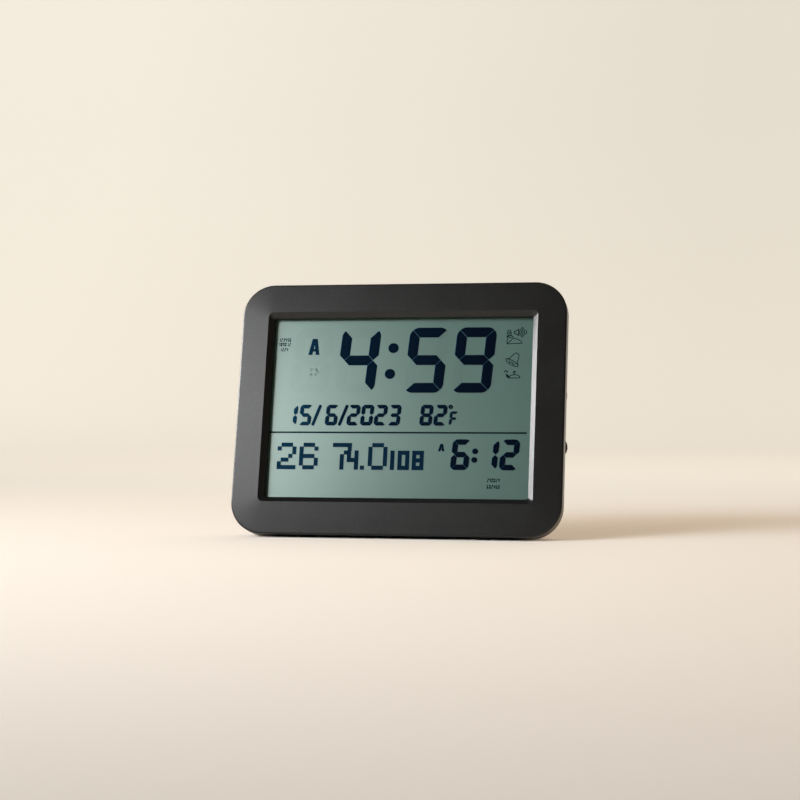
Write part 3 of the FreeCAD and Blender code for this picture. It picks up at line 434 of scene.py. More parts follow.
def make_piece(name, mesh, material, body="case"):
    """A finished piece that rides on a body."""
    mesh.materials.clear()
    mesh.materials.append(material)
    piece = bpy.data.objects.new(name, mesh)
    bpy.context.scene.collection.objects.link(piece)
    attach(piece, body)
    return piece


def plates(outlines, inward):
    """A mesh of thin closed plates, one for each loop of points, thickened by a vector."""
    verts, faces = [], []
    for outline in outlines:
        front = list(outline)
        if normal(front).dot(inward) > 0:
            front.reverse()
        start, count = len(verts), len(front)
        verts += front + [point + inward for point in front]
        near = range(start, start + count)
        faces += [list(near), [k + count for k in reversed(near)]]
        faces += [(b, a, a + count, b + count) for a, b in zip(near, [*near[1:], start])]
    mesh = bpy.data.meshes.new("plates")
    mesh.from_pydata(verts, [], faces)
    return mesh


def inked(outlines, layer=INK_LAYER, shift=(0.0, 0.0)):
    """Plates on the display, one for each outline in millimetres."""
    lift, thick = layer
    loops = [[at(x + shift[0], z + shift[1], lift) for x, z in outline] for outline in outlines]
    return plates(loops, BACK * thick * MM)


def marked(outlines, depth):
    """Printed plates on a rear surface that lies some millimetres behind the face."""
    front = BACK * (depth + MARK_LIFT)
    loops = [[FACE_MIDDLE + (RIGHT * x + UP * z + front) * MM for x, z in outline]
             for outline in outlines]
    return plates(loops, BACK * -MARK_THICK * MM)


def arc(cx, cz, radius, start, stop, steps=5):
    """Points along an arc, in degrees."""
    points = []
    for k in range(steps + 1):
        turn = math.radians(start + (stop - start) * k / steps)
        points.append((cx + radius * math.cos(turn), cz + radius * math.sin(turn)))
    return points


def segment_outlines(width, height, stroke, gap, letters):
    """The seven-segment shapes of one character, upright, from its lower left corner."""
    middle = height / 2
    half = stroke / 2
    bend = stroke * CORNER_SHARE
    slip = gap * SLIP_SHARE
    inner_x = width - stroke
    inner_z = height - stroke

    def top_left():
        return arc(bend, height - bend, bend, 135, 90, 6)

    def left_top():
        return arc(bend, height - bend, bend, 135, 180, 6)

    def mirrored(points):
        return [(width - x, z) for x, z in points]

    def flipped(points):
        return [(x, height - z) for x, z in points]

    bar = [(x + slip, z) for x, z in top_left()]
    bar += [(width - x, z) for x, z in reversed(bar)]
    bar += [(inner_x - slip, inner_z), (stroke + slip, inner_z)]
    post = [(x, z - slip) for x, z in left_top()]
    post += [(0, middle + half + slip), (half, middle + slip), (stroke, middle + half + slip)]
    post += [(stroke, inner_z - slip)]
    waist = [
        (half + slip, middle), (stroke + slip, middle + half), (inner_x - slip, middle + half),
        (width - half - slip, middle), (inner_x - slip, middle - half),
        (stroke + slip, middle - half),
    ]
    shapes = {
        "a": bar,
        "f": post,
        "b": mirrored(post),
        "g": waist,
        "e": flipped(post),
        "c": mirrored(flipped(post)),
        "d": flipped(bar),
    }
    return [shapes[letter] for letter in letters]


def leaning(letters, left, middle, width, height, stroke, gap):
    """The lettered segments of one leaning character; left is its left edge at mid height."""
    half = height / 2
    return [[(left + x + (z - half) * DIGIT_LEAN, middle - half + z) for x, z in outline]
            for outline in segment_outlines(width, height, stroke, gap, letters)]


def character(key, *shape):
    """One leaning seven-segment character."""
    return leaning(SEGMENTS[key], *shape)


def disc(cx, cz, radius, steps=32):
    """A round dot."""
    return arc(cx, cz, radius, 0, 360 * (steps - 1) / steps, steps - 1)


def oval(cx, cz, half_width, half_height, steps):
    """Points round an oval."""
    turns = (2 * math.pi * k / steps for k in range(steps))
    return [(cx + half_width * math.cos(t), cz + half_height * math.sin(t)) for t in turns]


def placed(points, cx, cz, size=1.0, tilt=0.0):
    """Points of a small drawing, scaled, tilted by some degrees and set in place."""
    turn = math.radians(tilt)
    across, along = math.cos(turn) * size, math.sin(turn) * size
    return [(cx + x * across - z * along, cz + x * along + z * across) for x, z in points]


def bar_between(x0, z0, x1, z1, width):
    """A straight stroke with rounded ends."""
    turn = math.degrees(math.atan2(z1 - z0, x1 - x0))
    half = width / 2
    return arc(x1, z1, half, turn - 90, turn + 90, 6) + arc(x0, z0, half, turn + 90, turn + 270, 6)


def strokes(points, width, closed=False):
    """A drawn line as a run of rounded strokes."""
    ends = points + points[:1] if closed else points
    return [bar_between(*a, *b, width) for a, b in zip(ends, ends[1:])]


# ---------------------------------------------------------------- display contents

# Middles are heights, lefts are the left edges of characters; a size is the width, the height,
# the stroke and the gap
BIG_MIDDLE = 34.5
BIG_LEFTS = {"4": -44.2, "5": 3.2, "9": 36.0}
BIG_COLON = ((-6.55, 43.1), (-8.2, 24.85))
BIG_COLON_RADIUS = 3.5
GHOST_LEFT = -77.0
DATE_MIDDLE = -4.05
DATE_SIZE = (8.5, 14.5, 2.6, 0.2)
DATE_PLACES = (
    ("1", -80.3), ("5", -70.1), ("6", -51.6), ("2", -36.4), ("0", -26.9), ("2", -17.4),
    ("3", -7.9), ("8", 14.2), ("2", 23.8),
)
SLASHES = ((-60.4, -55.85), (-41.7, -37.1))
SLASH_ENDS = (-10.5, 2.2)
SLASH_WIDTH = 2.0
ALARM_MIDDLE = -31.1
ALARM_SIZE = (12.4, 21.0, 3.75, 0.25)
ALARM_PLACES = (("6", 36.7), ("1", 55.9), ("2", 69.8))
ALARM_COLON = ((52.7, -28.8), (52.3, -34.7))
ALARM_COLON_RADIUS = 1.95
SCALE_LETTER_SIZE = (5.6, 10.0, 1.75, 0.15)
DOT_TOP = -23.6
SMALL_DOT_TOP = -28.75
DOT_PLACES = (
    ("2", -84.2, DOT_TOP), ("6", -68.7, DOT_TOP), ("7", -45.4, DOT_TOP),
    ("small 4", -35.3, SMALL_DOT_TOP), (".", -25.9, DOT_TOP), ("0", -20.6, DOT_TOP),
    ("small 1", -5.2, SMALL_DOT_TOP), ("small 0", -0.1, SMALL_DOT_TOP),
    ("small 8", 9.8, SMALL_DOT_TOP),
)
DOTS_A_CELL = 3
DOT_SHARE = 0.77                   # a dot's width as a share of its pitch
CELL_REACH = 0.06                  # what a cell reaches past its edge, as a share of its pitch
LINE = 0.55
SMALL_ROWS = (("123456", -88.2, 49.4), ("789012", -88.3, 46.1), ("1224", -87.0, 42.4),
              ("240024", 61.2, -48.5), ("602460", 61.2, -52.9))
SMALL_SIZE = (1.25, 2.6, 0.57, 0.0)
SMALL_PITCH = 1.5
RULE_MIDDLE = -16.15
RULE_ENDS = (-90.9, 87.0)
RULE_WIDTH = 1.15


def big_size(sizes):
    """Width, height, stroke and gap of the large digits."""
    return sizes.digit_width, sizes.digit_height, sizes.digit_stroke, sizes.segment_gap


def time_outlines(sizes):
    """The large time and its colon."""
    outlines = []
    for key, left in BIG_LEFTS.items():
        outlines += character(key, left, BIG_MIDDLE, *big_size(sizes))
    outlines += [disc(*middle, BIG_COLON_RADIUS) for middle in BIG_COLON]
    return outlines


def ghost_outlines(sizes):
    """Segments that are off, which show faintly."""
    outlines = character("8", GHOST_LEFT, BIG_MIDDLE, *big_size(sizes))
    for key, letters in (("4", "ade"), ("5", "be"), ("9", "e")):
        outlines += leaning(letters, BIG_LEFTS[key], BIG_MIDDLE, *big_size(sizes))
    return outlines


def date_outlines():
    """The date, the temperature and the second time."""
    outlines = []
    for key, left in DATE_PLACES:
        outlines += character(key, left, DATE_MIDDLE, *DATE_SIZE)
    for low_x, high_x in SLASHES:
        outlines.append(bar_between(low_x, SLASH_ENDS[0], high_x, SLASH_ENDS[1], SLASH_WIDTH))
    for key, left in ALARM_PLACES:
        outlines += character(key, left, ALARM_MIDDLE, *ALARM_SIZE)
    outlines += [disc(*middle, ALARM_COLON_RADIUS) for middle in ALARM_COLON]
    outlines += character("F", 34.3, -6.35, *SCALE_LETTER_SIZE)
    outlines += strokes(disc(34.85, 1.8, 1.0, 12), 0.85, closed=True)
    return outlines


def letter_a(cx, low, width, height):
    """A heavy upright letter A with block feet; cx is its middle."""
    legs = (
        ((-0.49, 0.0), (-0.13, 0.0), (-0.12, 0.11), (0.15, 1.0), (-0.15, 1.0), (-0.44, 0.11)),
        ((0.14, 0.0), (0.50, 0.0), (0.46, 0.11), (0.26, 1.0), (-0.04, 1.0), (0.18, 0.11)),
        ((-0.26, 0.21), (0.3, 0.21), (0.27, 0.37), (-0.21, 0.37)),
    )
    return [[(cx + x * width, low + z * height) for x, z in leg] for leg in legs]


def letter_outlines():
    """Morning letters of both times."""
    return letter_a(-62.6, 38.6, 8.0, 11.4) + letter_a(29.5, -28.9, 4.3, 5.0)


def ghost_letter_outlines():
    """The afternoon letter, off."""
    return strokes([(-64.6, 20.6), (-63.8, 28.2), (-60.2, 28.2), (-59.2, 26.4), (-60.6, 24.6),
                    (-63.6, 24.4)], 1.8)


def bell(cx, cz, size):
    """A tilted bell in outline, its mouth drawn as a flat ring with the clapper inside."""
    tilt = -30
    dome = [(-0.95, -0.5), (-0.6, -0.2), (-0.42, 0.55), (-0.2, 0.9), (0.2, 0.9), (0.42, 0.55),
            (0.6, -0.2), (0.95, -0.5)]
    mouth = oval(0.0, -0.58, 0.95, 0.3, 18)
    outlines = strokes(placed(dome, cx, cz, size, tilt), LINE)
    outlines += strokes(placed(mouth, cx, cz, size, tilt), LINE, closed=True)
    clapper = [(-0.5, -0.5), (-0.25, -0.72), (0.0, -0.5), (0.25, -0.72), (0.5, -0.5)]
    outlines += strokes(placed(clapper, cx, cz, size, tilt), LINE)
    return outlines


def speaker_icon(cx, cz):
    """A horn with its sound waves."""
    horn = ((0, -0.8), (1.2, -0.8), (2.9, -2.3), (2.9, 2.3), (1.2, 0.8), (0, 0.8))
    outlines = strokes(placed(horn, cx, cz), LINE, closed=True)
    for k in range(4):
        radius = 1.6 + 1.05 * k
        outlines += strokes(arc(cx + 2.2, cz, radius, -50, 50, 7), LINE)
    outlines += strokes(arc(cx + 7.0, cz, 1.5, -60, 60, 6), LINE)
    return outlines


def kneeling_figure(cx, cz):
    """A figure at prayer in outline: head and shoulders above a low, sloping back."""
    outlines = strokes(oval(cx, cz + 4.3, 1.3, 2.0, 16), LINE, closed=True)
    back = [(-1.6, 2.0), (-0.7, 0.4), (-1.5, -1.6), (-1.2, -3.4), (8.9, -3.0), (8.0, -1.4),
            (5.6, -0.1), (3.2, 0.4), (1.6, 2.6)]
    outlines += strokes(placed(back, cx, cz), LINE, closed=True)
    outlines += strokes([(cx - 1.2, cz - 3.2), (cx + 0.6, cz - 1.6), (cx + 2.4, cz + 0.2)], LINE)
    outlines += strokes(arc(cx + 0.2, cz + 4.2, 0.6, 20, 300, 8), LINE)
    outlines += strokes([(cx - 0.9, cz + 1.8), (cx + 0.9, cz + 0.9), (cx + 2.2, cz + 1.5)], LINE)
    return outlines


def bowing_figure(cx, cz):
    """A bowed figure beside a low dome, with a small arch above each."""
    outlines = strokes([(cx - 4.9, cz + 2.7), (cx - 3.9, cz + 3.7), (cx - 2.6, cz + 3.0),
                        (cx - 3.3, cz + 2.3)], LINE * 1.2)
    outlines.append([(cx - 4.0, cz + 1.6), (cx - 2.2, cz + 0.8), (cx - 1.2, cz - 0.6),
                     (cx - 2.0, cz - 1.7), (cx - 3.2, cz - 0.9)])
    dome = [(-1.4, -1.6), (6.0, -1.4), (5.2, 0.0), (3.3, 0.8), (1.2, 0.8), (-0.8, 0.1)]
    outlines += strokes(placed(dome, cx, cz), LINE, closed=True)
    outlines += strokes([(cx + 2.0, cz + 1.0), (cx + 2.0, cz + 3.4)], LINE)
    outlines += strokes([(cx + 1.0, cz + 2.2), (cx + 2.0, cz + 3.4), (cx + 3.0, cz + 2.4)], LINE)
    return outlines


def icon_outlines():
    """Small line drawings down the right-hand side."""
    outlines = speaker_icon(76.4, 53.6)
    outlines += kneeling_figure(73.0, 49.0)
    outlines += bell(76.9, 34.9, 5.0)
    outlines += bowing_figure(75.3, 23.3)
    return outlines


def ring(cx, cz, radius, width):
    """A drawn circle."""
    return strokes(oval(cx, cz, radius, radius, 24), width, closed=True)


def lines_mark(cx, cz):
    """Three short lines one above the other."""
    rows = [cz + rise for rise in (-1.3, 0.0, 1.3)]
    return [bar_between(cx - 1.7, z, cx + 1.7, z, 0.5) for z in rows]


def tick_mark(cx, cz):
    """A tick in a ring."""
    return ring(cx, cz, 1.9, 0.4) + strokes([(cx + 0.9, cz), (cx + 0.2, cz - 0.8),
                                             (cx - 0.9, cz + 0.8)], 0.45)


def arrow_mark(cx, cz, way):
    """A solid triangle that points up or down."""
    return [[(cx - 1.7, cz - 1.2 * way), (cx + 1.7, cz - 1.2 * way), (cx, cz + 1.5 * way)]]


def sun_mark(cx, cz):
    """A disc with eight rays."""
    rays = []
    for k in range(8):
        turn = math.pi * k / 4
        x, z = math.cos(turn), math.sin(turn)
        rays.append(bar_between(cx + 1.45 * x, cz + 1.45 * z, cx + 2.2 * x, cz + 2.2 * z, 0.4))
    return [disc(cx, cz, 1.0)] + rays


def globe_mark(cx, cz):
    """A ring with its equator and a narrow meridian."""
    meridian = strokes(oval(cx, cz, 0.85, 1.9, 24), 0.35, closed=True)
    return ring(cx, cz, 1.9, 0.4) + meridian + [bar_between(cx - 1.9, cz, cx + 1.9, cz, 0.35)]


def key_marks():
    """The drawing on each rear key, by the body it rides on."""
    places = [(x, z) for x in KEY_COLUMNS for z in KEY_ROWS]
    mode, choose, up, down, alarm, light, city, stop = places
    return {
        "mode_key": lines_mark(*mode),
        "set_key": tick_mark(*choose),
        "up_key": arrow_mark(*up, 1),
        "down_key": arrow_mark(*down, -1),
        "alarm_key": bell(*alarm, 1.9),
        "light_key": sun_mark(*light),
        "city_key": globe_mark(*city),
        "stop_key": [placed(((-1, -1), (1, -1), (1, 1), (-1, 1)), *stop, 1.4)],
    }


def cover_marks():
    """Drawings on the rear cover by the wheel, the switch and the reset hole."""
    horn = placed(((0, -0.8), (-1.2, -0.8), (-2.9, -2.3), (-2.9, 2.3), (-1.2, 0.8), (0, 0.8)),
                 92.0, WHEEL_HEIGHT, 0.8)
    wedge = [(96.5, WHEEL_HEIGHT - 4.5), (98.0, WHEEL_HEIGHT + 4.5), (95.0, WHEEL_HEIGHT + 4.5)]
    marks = strokes(horn, 0.4, closed=True) + [wedge]
    marks += ring(98.0, SWITCH_HEIGHT - 3.6, 1.1, 0.4)
    marks.append(bar_between(98.0, SWITCH_HEIGHT + 2.4, 98.0, SWITCH_HEIGHT + 4.8, 0.45))
    marks += strokes(arc(*RESET_PLACE, 3.4, 115, 425, 24), 0.35)
    return marks


def small_print_outlines():
    """Rows of tiny plain numbers."""
    outlines = []
    for keys, left, middle in SMALL_ROWS:
        for k, key in enumerate(keys):
            outlines += character(key, left + SMALL_PITCH * k, middle, *SMALL_SIZE)
    return outlines


def rule_outline():
    """The line that parts the display's two halves."""
    half = RULE_WIDTH / 2
    return [[(RULE_ENDS[0], RULE_MIDDLE - half), (RULE_ENDS[1], RULE_MIDDLE - half),
             (RULE_ENDS[1], RULE_MIDDLE + half), (RULE_ENDS[0], RULE_MIDDLE + half)]]


def lit_cells():
    """Left, top, column and row of every lit cell of the dot characters."""
    return [(left, top, column, row) for key, left, top in DOT_PLACES
            for row, line in enumerate(DOTS[key])
            for column, lit in enumerate(line) if lit == "1"]


def cell_outlines(pitch):
    """One square behind each lit cell of the dot characters."""
    reach = pitch * CELL_REACH
    outlines = []
    for left, top, column, row in lit_cells():
        x0, x1 = left + column * pitch - reach, left + (column + 1) * pitch + reach
        z0, z1 = top - (row + 1) * pitch - reach, top - row * pitch + reach
        outlines.append([(x0, z0), (x1, z0), (x1, z1), (x0, z1)])
    return outlines


def dot_points(pitch):
    """The middle of every small dot of the dot characters."""
    shares = [(k + 0.5) / DOTS_A_CELL for k in range(DOTS_A_CELL)]
    return [(left + (column + dx) * pitch, top - (row + dz) * pitch)
            for left, top, column, row in lit_cells() for dx in shares for dz in shares]


def dot_tree(material):
    """Geometry nodes that put a small square plate on every point."""
    tree = bpy.data.node_groups.new("Dot plates", "GeometryNodeTree")
    tree.interface.new_socket(name="Geometry", in_out="INPUT", socket_type="NodeSocketGeometry")
    for name in ("Dot size", "Thickness"):
        tree.interface.new_socket(name=name, in_out="INPUT", socket_type="NodeSocketFloat")
    tree.interface.new_socket(name="Turn", in_out="INPUT", socket_type="NodeSocketVector")
    tree.interface.new_socket(name="Geometry", in_out="OUTPUT", socket_type="NodeSocketGeometry")
    source = tree.nodes.new("NodeGroupInput")
    sink = tree.nodes.new("NodeGroupOutput")
    link = tree.links.new
    size = tree.nodes.new("ShaderNodeCombineXYZ")
    link(source.outputs["Dot size"], size.inputs["X"])
    link(source.outputs["Thickness"], size.inputs["Y"])
    link(source.outputs["Dot size"], size.inputs["Z"])
    plate = tree.nodes.new("GeometryNodeMeshCube")
    link(size.outputs["Vector"], plate.inputs["Size"])
    spread = tree.nodes.new("GeometryNodeInstanceOnPoints")
    link(source.outputs["Geometry"], spread.inputs["Points"])
    link(plate.outputs["Mesh"], spread.inputs["Instance"])
    turn = tree.nodes.new("FunctionNodeEulerToRotation")
    link(source.outputs["Turn"], turn.inputs["Euler"])
    link(turn.outputs["Rotation"], spread.inputs["Rotation"])
    real = tree.nodes.new("GeometryNodeRealizeInstances")
    link(spread.outputs["Instances"], real.inputs["Geometry"])
    paint = tree.nodes.new("GeometryNodeSetMaterial")
    paint.inputs["Material"].default_value = material
    link(real.outputs["Geometry"], paint.inputs["Geometry"])
    link(paint.outputs["Geometry"], sink.inputs["Geometry"])
    return tree


def dot_mesh(pitch, material):
    """The dot characters, one square plate for each dot."""
    lift, thick = INK_LAYER
    points = [at(x, z, lift - thick / 2) for x, z in dot_points(pitch)]
    values = {"Dot size": pitch / DOTS_A_CELL * DOT_SHARE * MM, "Thickness": thick * MM,
              "Turn": (-math.atan2(-BACK.z, BACK.y), 0.0, 0.0)}
    return nodes_result("dot_characters", points, dot_tree(material), values)


def nodes_result(name, points, tree, values):
    """The plain mesh that a geometry tree makes from loose points."""
    mesh = bpy.data.meshes.new(name)
    mesh.from_pydata(points, [], [])
    holder = bpy.data.objects.new(name, mesh)
    bpy.context.scene.collection.objects.link(holder)
    modifier = holder.modifiers.new("Plates", "NODES")
    modifier.node_group = tree
    for item in tree.interface.items_tree:
        if item.in_out == "INPUT" and item.name in values:
            modifier[item.identifier] = values[item.name]
    graph = bpy.context.evaluated_depsgraph_get()
    result = bpy.data.meshes.new_from_object(holder.evaluated_get(graph))
    holder.modifiers.remove(modifier)
    bpy.data.objects.remove(holder)
    return result


# ---------------------------------------------------------------- finishing the CAD nodes

# Slot, finish, colour, lowest and highest roughness, and the stretch of the lines
METALS = (
    ("steel", "zinc_steel", (0.56, 0.56, 0.57), 0.22, 0.4, (1, 1, 1)),
    ("nickel", "nickel_plate", (0.68, 0.66, 0.6), 0.16, 0.3, (1, 1, 4)),
    ("can_aluminium", "drawn_aluminium", (0.75, 0.76, 0.77), 0.25, 0.4, (1, 1, 6)),
)

# Slot, finish, colour, grain per metre, lowest and highest roughness, relief, colour spread
MOULDINGS = (
    ("resin_black", "epoxy_black", (0.012, 0.012, 0.013), 900.0, 0.2, 0.32, 0.2, 0.18),
    ("white_plastic", "white_moulding", (0.72, 0.72, 0.69), 2400.0, 0.45, 0.55, 0.3, 0.04),
    ("acrylic", "acrylic_sheet", (0.75, 0.78, 0.77), 300.0, 0.08, 0.14, 0.05, 0.03),
    ("lamp_white", "lamp_phosphor", (0.85, 0.8, 0.5), 1200.0, 0.3, 0.4, 0.1, 0.05),
    ("ferrite", "ferrite_grey", (0.05, 0.05, 0.054), 1500.0, 0.5, 0.65, 0.6, 0.18),
    ("cone_paper", "cone_paper", (0.035, 0.034, 0.033), 1300.0, 0.75, 0.9, 0.9, 0.18),
    ("wire_red", "wire_sheath", (0.4, 0.02, 0.02), 900.0, 0.35, 0.45, 0.2, 0.08),
)


def paint(slot, material):
    """Give a material to the CAD nodes of one of the record's material slots."""
    for part in frame["record"]["subparts"]:
        if part["material_slot"] == slot:
            mesh = frame["nodes"][part["node"]].data
            mesh.materials.clear()
            mesh.materials.append(material)


def print_finish(name, colour):
    """The pale print of the rear drawings."""
    return grained(name, colour, 3000.0, 0.5, 0.6, 0.1, spread=0.06)


class CLOCK_OT_case(bpy.types.Operator):
    """Finish the bezel, the rear cover, the leg, the door and the feet"""

    bl_idname = "clock.case"
    bl_label = "Case"

    def execute(self, context):
        colours = context.scene.clock_colours
        paint("case_black", grained("bezel_satin", colours.case, 1300.0, 0.3, 0.33, 0.45,
                                    spread=1.0, specular=0.45, fleck=0.75))
        paint("cover_black", grained("cover_texture", colours.cover, 2600.0, 0.48, 0.6, 0.9))
        paint("rubber_black",
              grained("soft_rubber", (0.03, 0.029, 0.028), 1800.0, 0.72, 0.86, 0.5))
        pale = print_finish("cover_print", shaded(colours.marks, 0.7))
        make_piece("cover_marks", marked(cover_marks(), COVER_BACK), pale)
        make_piece("door_arrow", marked(arrow_mark(*DOOR_ARROW, 1), DOOR_BACK), pale,
                   "door")
        return {"FINISHED"}


class CLOCK_OT_keys(bpy.types.Operator):
    """Finish the rear keys"""

    bl_idname = "clock.keys"
    bl_label = "Keys"

    def execute(self, context):
        colours = context.scene.clock_colours
        paint("key_grey", grained("key_satin", colours.keys, 3600.0, 0.4, 0.52, 0.3))
        pale = print_finish("key_print", colours.marks)
        for body, outlines in key_marks().items():
            make_piece(body + "_mark", marked(outlines, KEY_TOP), pale, body)
        return {"FINISHED"}


class CLOCK_OT_works(bpy.types.Operator):
    """Finish the metal, the boards, the cells and the other inner pieces"""

    bl_idname = "clock.works"
    bl_label = "Works"

    def execute(self, context):
        for slot, *finish in METALS:
            paint(slot, metal(*finish))
        for slot, *finish in MOULDINGS:
            paint(slot, grained(*finish))
        paint("board_green", board_material())
        paint("cell_jacket", cell_material())
        return {"FINISHED"}


class CLOCK_OT_display(bpy.types.Operator):
    """Lay the film, the digits, the dot characters and the small drawings"""

    bl_idname = "clock.display"
    bl_label = "Display"

    def execute(self, context):
        sizes = context.scene.clock_sizes
        colours = context.scene.clock_colours
        paint("polariser", film_material("display_film", colours.film))
        paint("glass_clear", glass_material())
        # Each ink below is painted lighter towards the left-hand side: painted light, not the ink's own
        # colour
        ink = ink_material("segment_ink", colours.ink, shaded(colours.fringe, 0.62))
        fine = ink_material("print_ink", colours.drawings, shaded(colours.drawings, 2.2))
        # A painted lit edge: the lighter copies of the lit segments
        fringe = ink_material("segment_fringe", shaded(colours.fringe, 0.75), colours.fringe)
        cell = ink_material("cell_ink", shaded(colours.fringe, 0.5), shaded(colours.fringe, 0.75))
        # A painted shadow: the film's colour darkened, for the shadow the lit segments cast on the reflector
        shade = film_material("segment_shade", shaded(colours.film, 0.68))
        pale = film_material("segment_off", shaded(colours.film, 0.90))
        time, date, letters = time_outlines(sizes), date_outlines(), letter_outlines()
        lit = time + date + letters
        cells = cell_outlines(sizes.dot_pitch)
        layers = (
            ("time_digits", time, ink, INK_LAYER, (0, 0)),
            ("date_digits", date, ink, INK_LAYER, (0, 0)),
            ("half_day_letters", letters, ink, INK_LAYER, (0, 0)),
            ("display_icons", icon_outlines(), fine, INK_LAYER, (0, 0)),
            ("small_numbers", small_print_outlines(), fine, INK_LAYER, (0, 0)),
            ("display_rule", rule_outline(), fine, INK_LAYER, (0, 0)),
            # The fringes are a painted lit edge, and the shades a painted shadow of the lit segments and
            # cells on the reflector behind
            ("segment_fringes", lit, fringe, FRINGE_LAYER, FRINGE_SHIFT),
            ("segment_shades", lit + cells, shade, SHADE_LAYER, SHADE_SHIFT),
            ("dot_cells", cells, cell, FRINGE_LAYER, (0, 0)),
            ("time_digits_off", ghost_outlines(sizes), pale, SHADE_LAYER, (0, 0)),
            ("half_day_letter_off", ghost_letter_outlines(), pale, FRINGE_LAYER, (0, 0)),
        )
        for name, outlines, material, layer, shift in layers:
            make_piece(name, inked(outlines, layer, shift), material)
        dot = ink_material("dot_ink", shaded(colours.ink, 1.5), shaded(colours.fringe, 0.3))
        make_piece("dot_characters", dot_mesh(sizes.dot_pitch, dot), dot)
        return {"FINISHED"}


# ---------------------------------------------------------------- stage

CAMERA_LENS = 82.23
CAMERA_SENSOR = 36.0
CAMERA_YAW = math.radians(11.42)
CAMERA_FROM_FACE = Vector((0.24575, -1.2089, 0.0048))

# The floor and the backdrop, in metres
FLOOR_FRONT = -3.0
FLOOR_BACK = 2.2
FLOOR_HALF_WIDTH = 4.0
BEND_RADIUS = 1.6
BEND_STEPS = 12
BACKDROP_TOP = 4.5

# The floor in the case's shade, in metres, and its soft edge as a share of its size; the floor's glow is
# left out there, a painted shade under the case
CASE_HALF_WIDTH = 0.085
CASE_HALF_DEPTH = 0.017
CASE_FLOOR_Y = -0.0175
CASE_EDGE = (0.95, 1.25)

# The glow's strength from front to back, as (metres, strength), its change across the floor,
# what is added far out to the sides, and where its tint turns from near to far
GLOW_FROM, GLOW_TO = -3.0, 3.0
GLOW_STOPS = ((-3.0, 1.0), (-1.9, 0.75), (-1.05, 0.26), (-0.85, 0.25), (-0.65, 0.315),
              (-0.5, 0.34), (-0.35, 0.345), (-0.2, 0.37), (0.3, 0.39), (0.5, 0.425),
              (0.74, 0.485), (1.0, 0.58), (1.5, 0.66), (2.0, 0.71), (2.6, 0.78))
GLOW_ACROSS = ((-1.5, 0.1), (1.08, 0.91))
GLOW_BESIDE = ((1.9, 3.4), (0.0, 0.55))
GLOW_TURN = (0.54, 0.607)

# Each lamp: place, where it points, size, colour, beam in degrees, its power's setting, and
# the kind of ray that doesn't meet it
LAMPS = (
    ("key_lamp", (-0.85, -0.75, 0.6), (0, 0, 0.12), (1.3, 0.3), (0.98, 0.99, 1.0), 90,
     "key_light", None),
    ("side_lamp", (-2.1, 0.05, 0.63), (0.09, 0, 0.1), (0.8, 0.5), (1.0, 1.0, 1.0), 54,
     "side_light", "visible_diffuse"),
    ("floor_lamp", (-3.6, -3.6, 2.45), (0.1, 0.1, 0), (2.2, 1.3), (0.57, 0.79, 1.0), 180,
     "floor_light", "visible_glossy"),
    ("high_lamp", (0.1, 1.0, 1.8), (0.1, 0.35, 0), (2.2, 1.2), (1.0, 0.85, 0.68), 180,
     "high_light", None),
)
FILL_COLOUR = (1.0, 0.80, 0.55)


def outside_painted_case_shade(tree, aside, along):
    """0 on the floor under the case, rising to 1 a little way outside it: a painted shade where the floor's
    glow is taken away.
    """
    across = reckon(tree, "DIVIDE", aside, CASE_HALF_WIDTH)
    depth = reckon(tree, "ABSOLUTE", reckon(tree, "SUBTRACT", along, CASE_FLOOR_Y))
    reach = reckon(tree, "MAXIMUM", across, reckon(tree, "DIVIDE", depth, CASE_HALF_DEPTH))
    return mapped(tree, reach, CASE_EDGE, smooth=True)


def floor_material(colour, near_glow, far_glow):
    """The pale floor and backdrop, lifted where the camera sees them, with a painted shade under the case
    where the lift is left out.
    """
    material, tree, shader = new_material("stage_floor")
    cloud = noise(tree, object_coords(tree), 1.6, 2.0)
    path = add(tree, "ShaderNodeLightPath").outputs
    seen = reckon(tree, "MAXIMUM", path["Is Camera Ray"], path["Is Transmission Ray"])
    seen = reckon(tree, "MAXIMUM", seen, path["Is Glossy Ray"])
    place = axes(tree)
    away = mapped(tree, place["Y"], (GLOW_FROM, GLOW_TO))
    stops = [((y - GLOW_FROM) / (GLOW_TO - GLOW_FROM), (value,) * 3) for y, value in GLOW_STOPS]
    depth = stop_ramp(tree, away, stops, "B_SPLINE")
    aside = reckon(tree, "ABSOLUTE", place["X"])
    glow = reckon(tree, "MULTIPLY_ADD", depth, mapped(tree, place["X"], *GLOW_ACROSS),
                  mapped(tree, aside, *GLOW_BESIDE, smooth=True))
    glow = reckon(tree, "MULTIPLY", seen, glow)
    fill(tree, shader, {
        "Base Color": ramp(tree, cloud, 0.3, 0.7, shaded(colour, 0.985), colour),
        "Emission Color": ramp(tree, away, *GLOW_TURN, near_glow, far_glow),
        "Emission Strength": reckon(tree, "MULTIPLY", glow,
                                    outside_painted_case_shade(tree, aside, place["Y"])),
        "Roughness": 0.9,
        "Specular IOR Level": 0.0,
    })
    return material


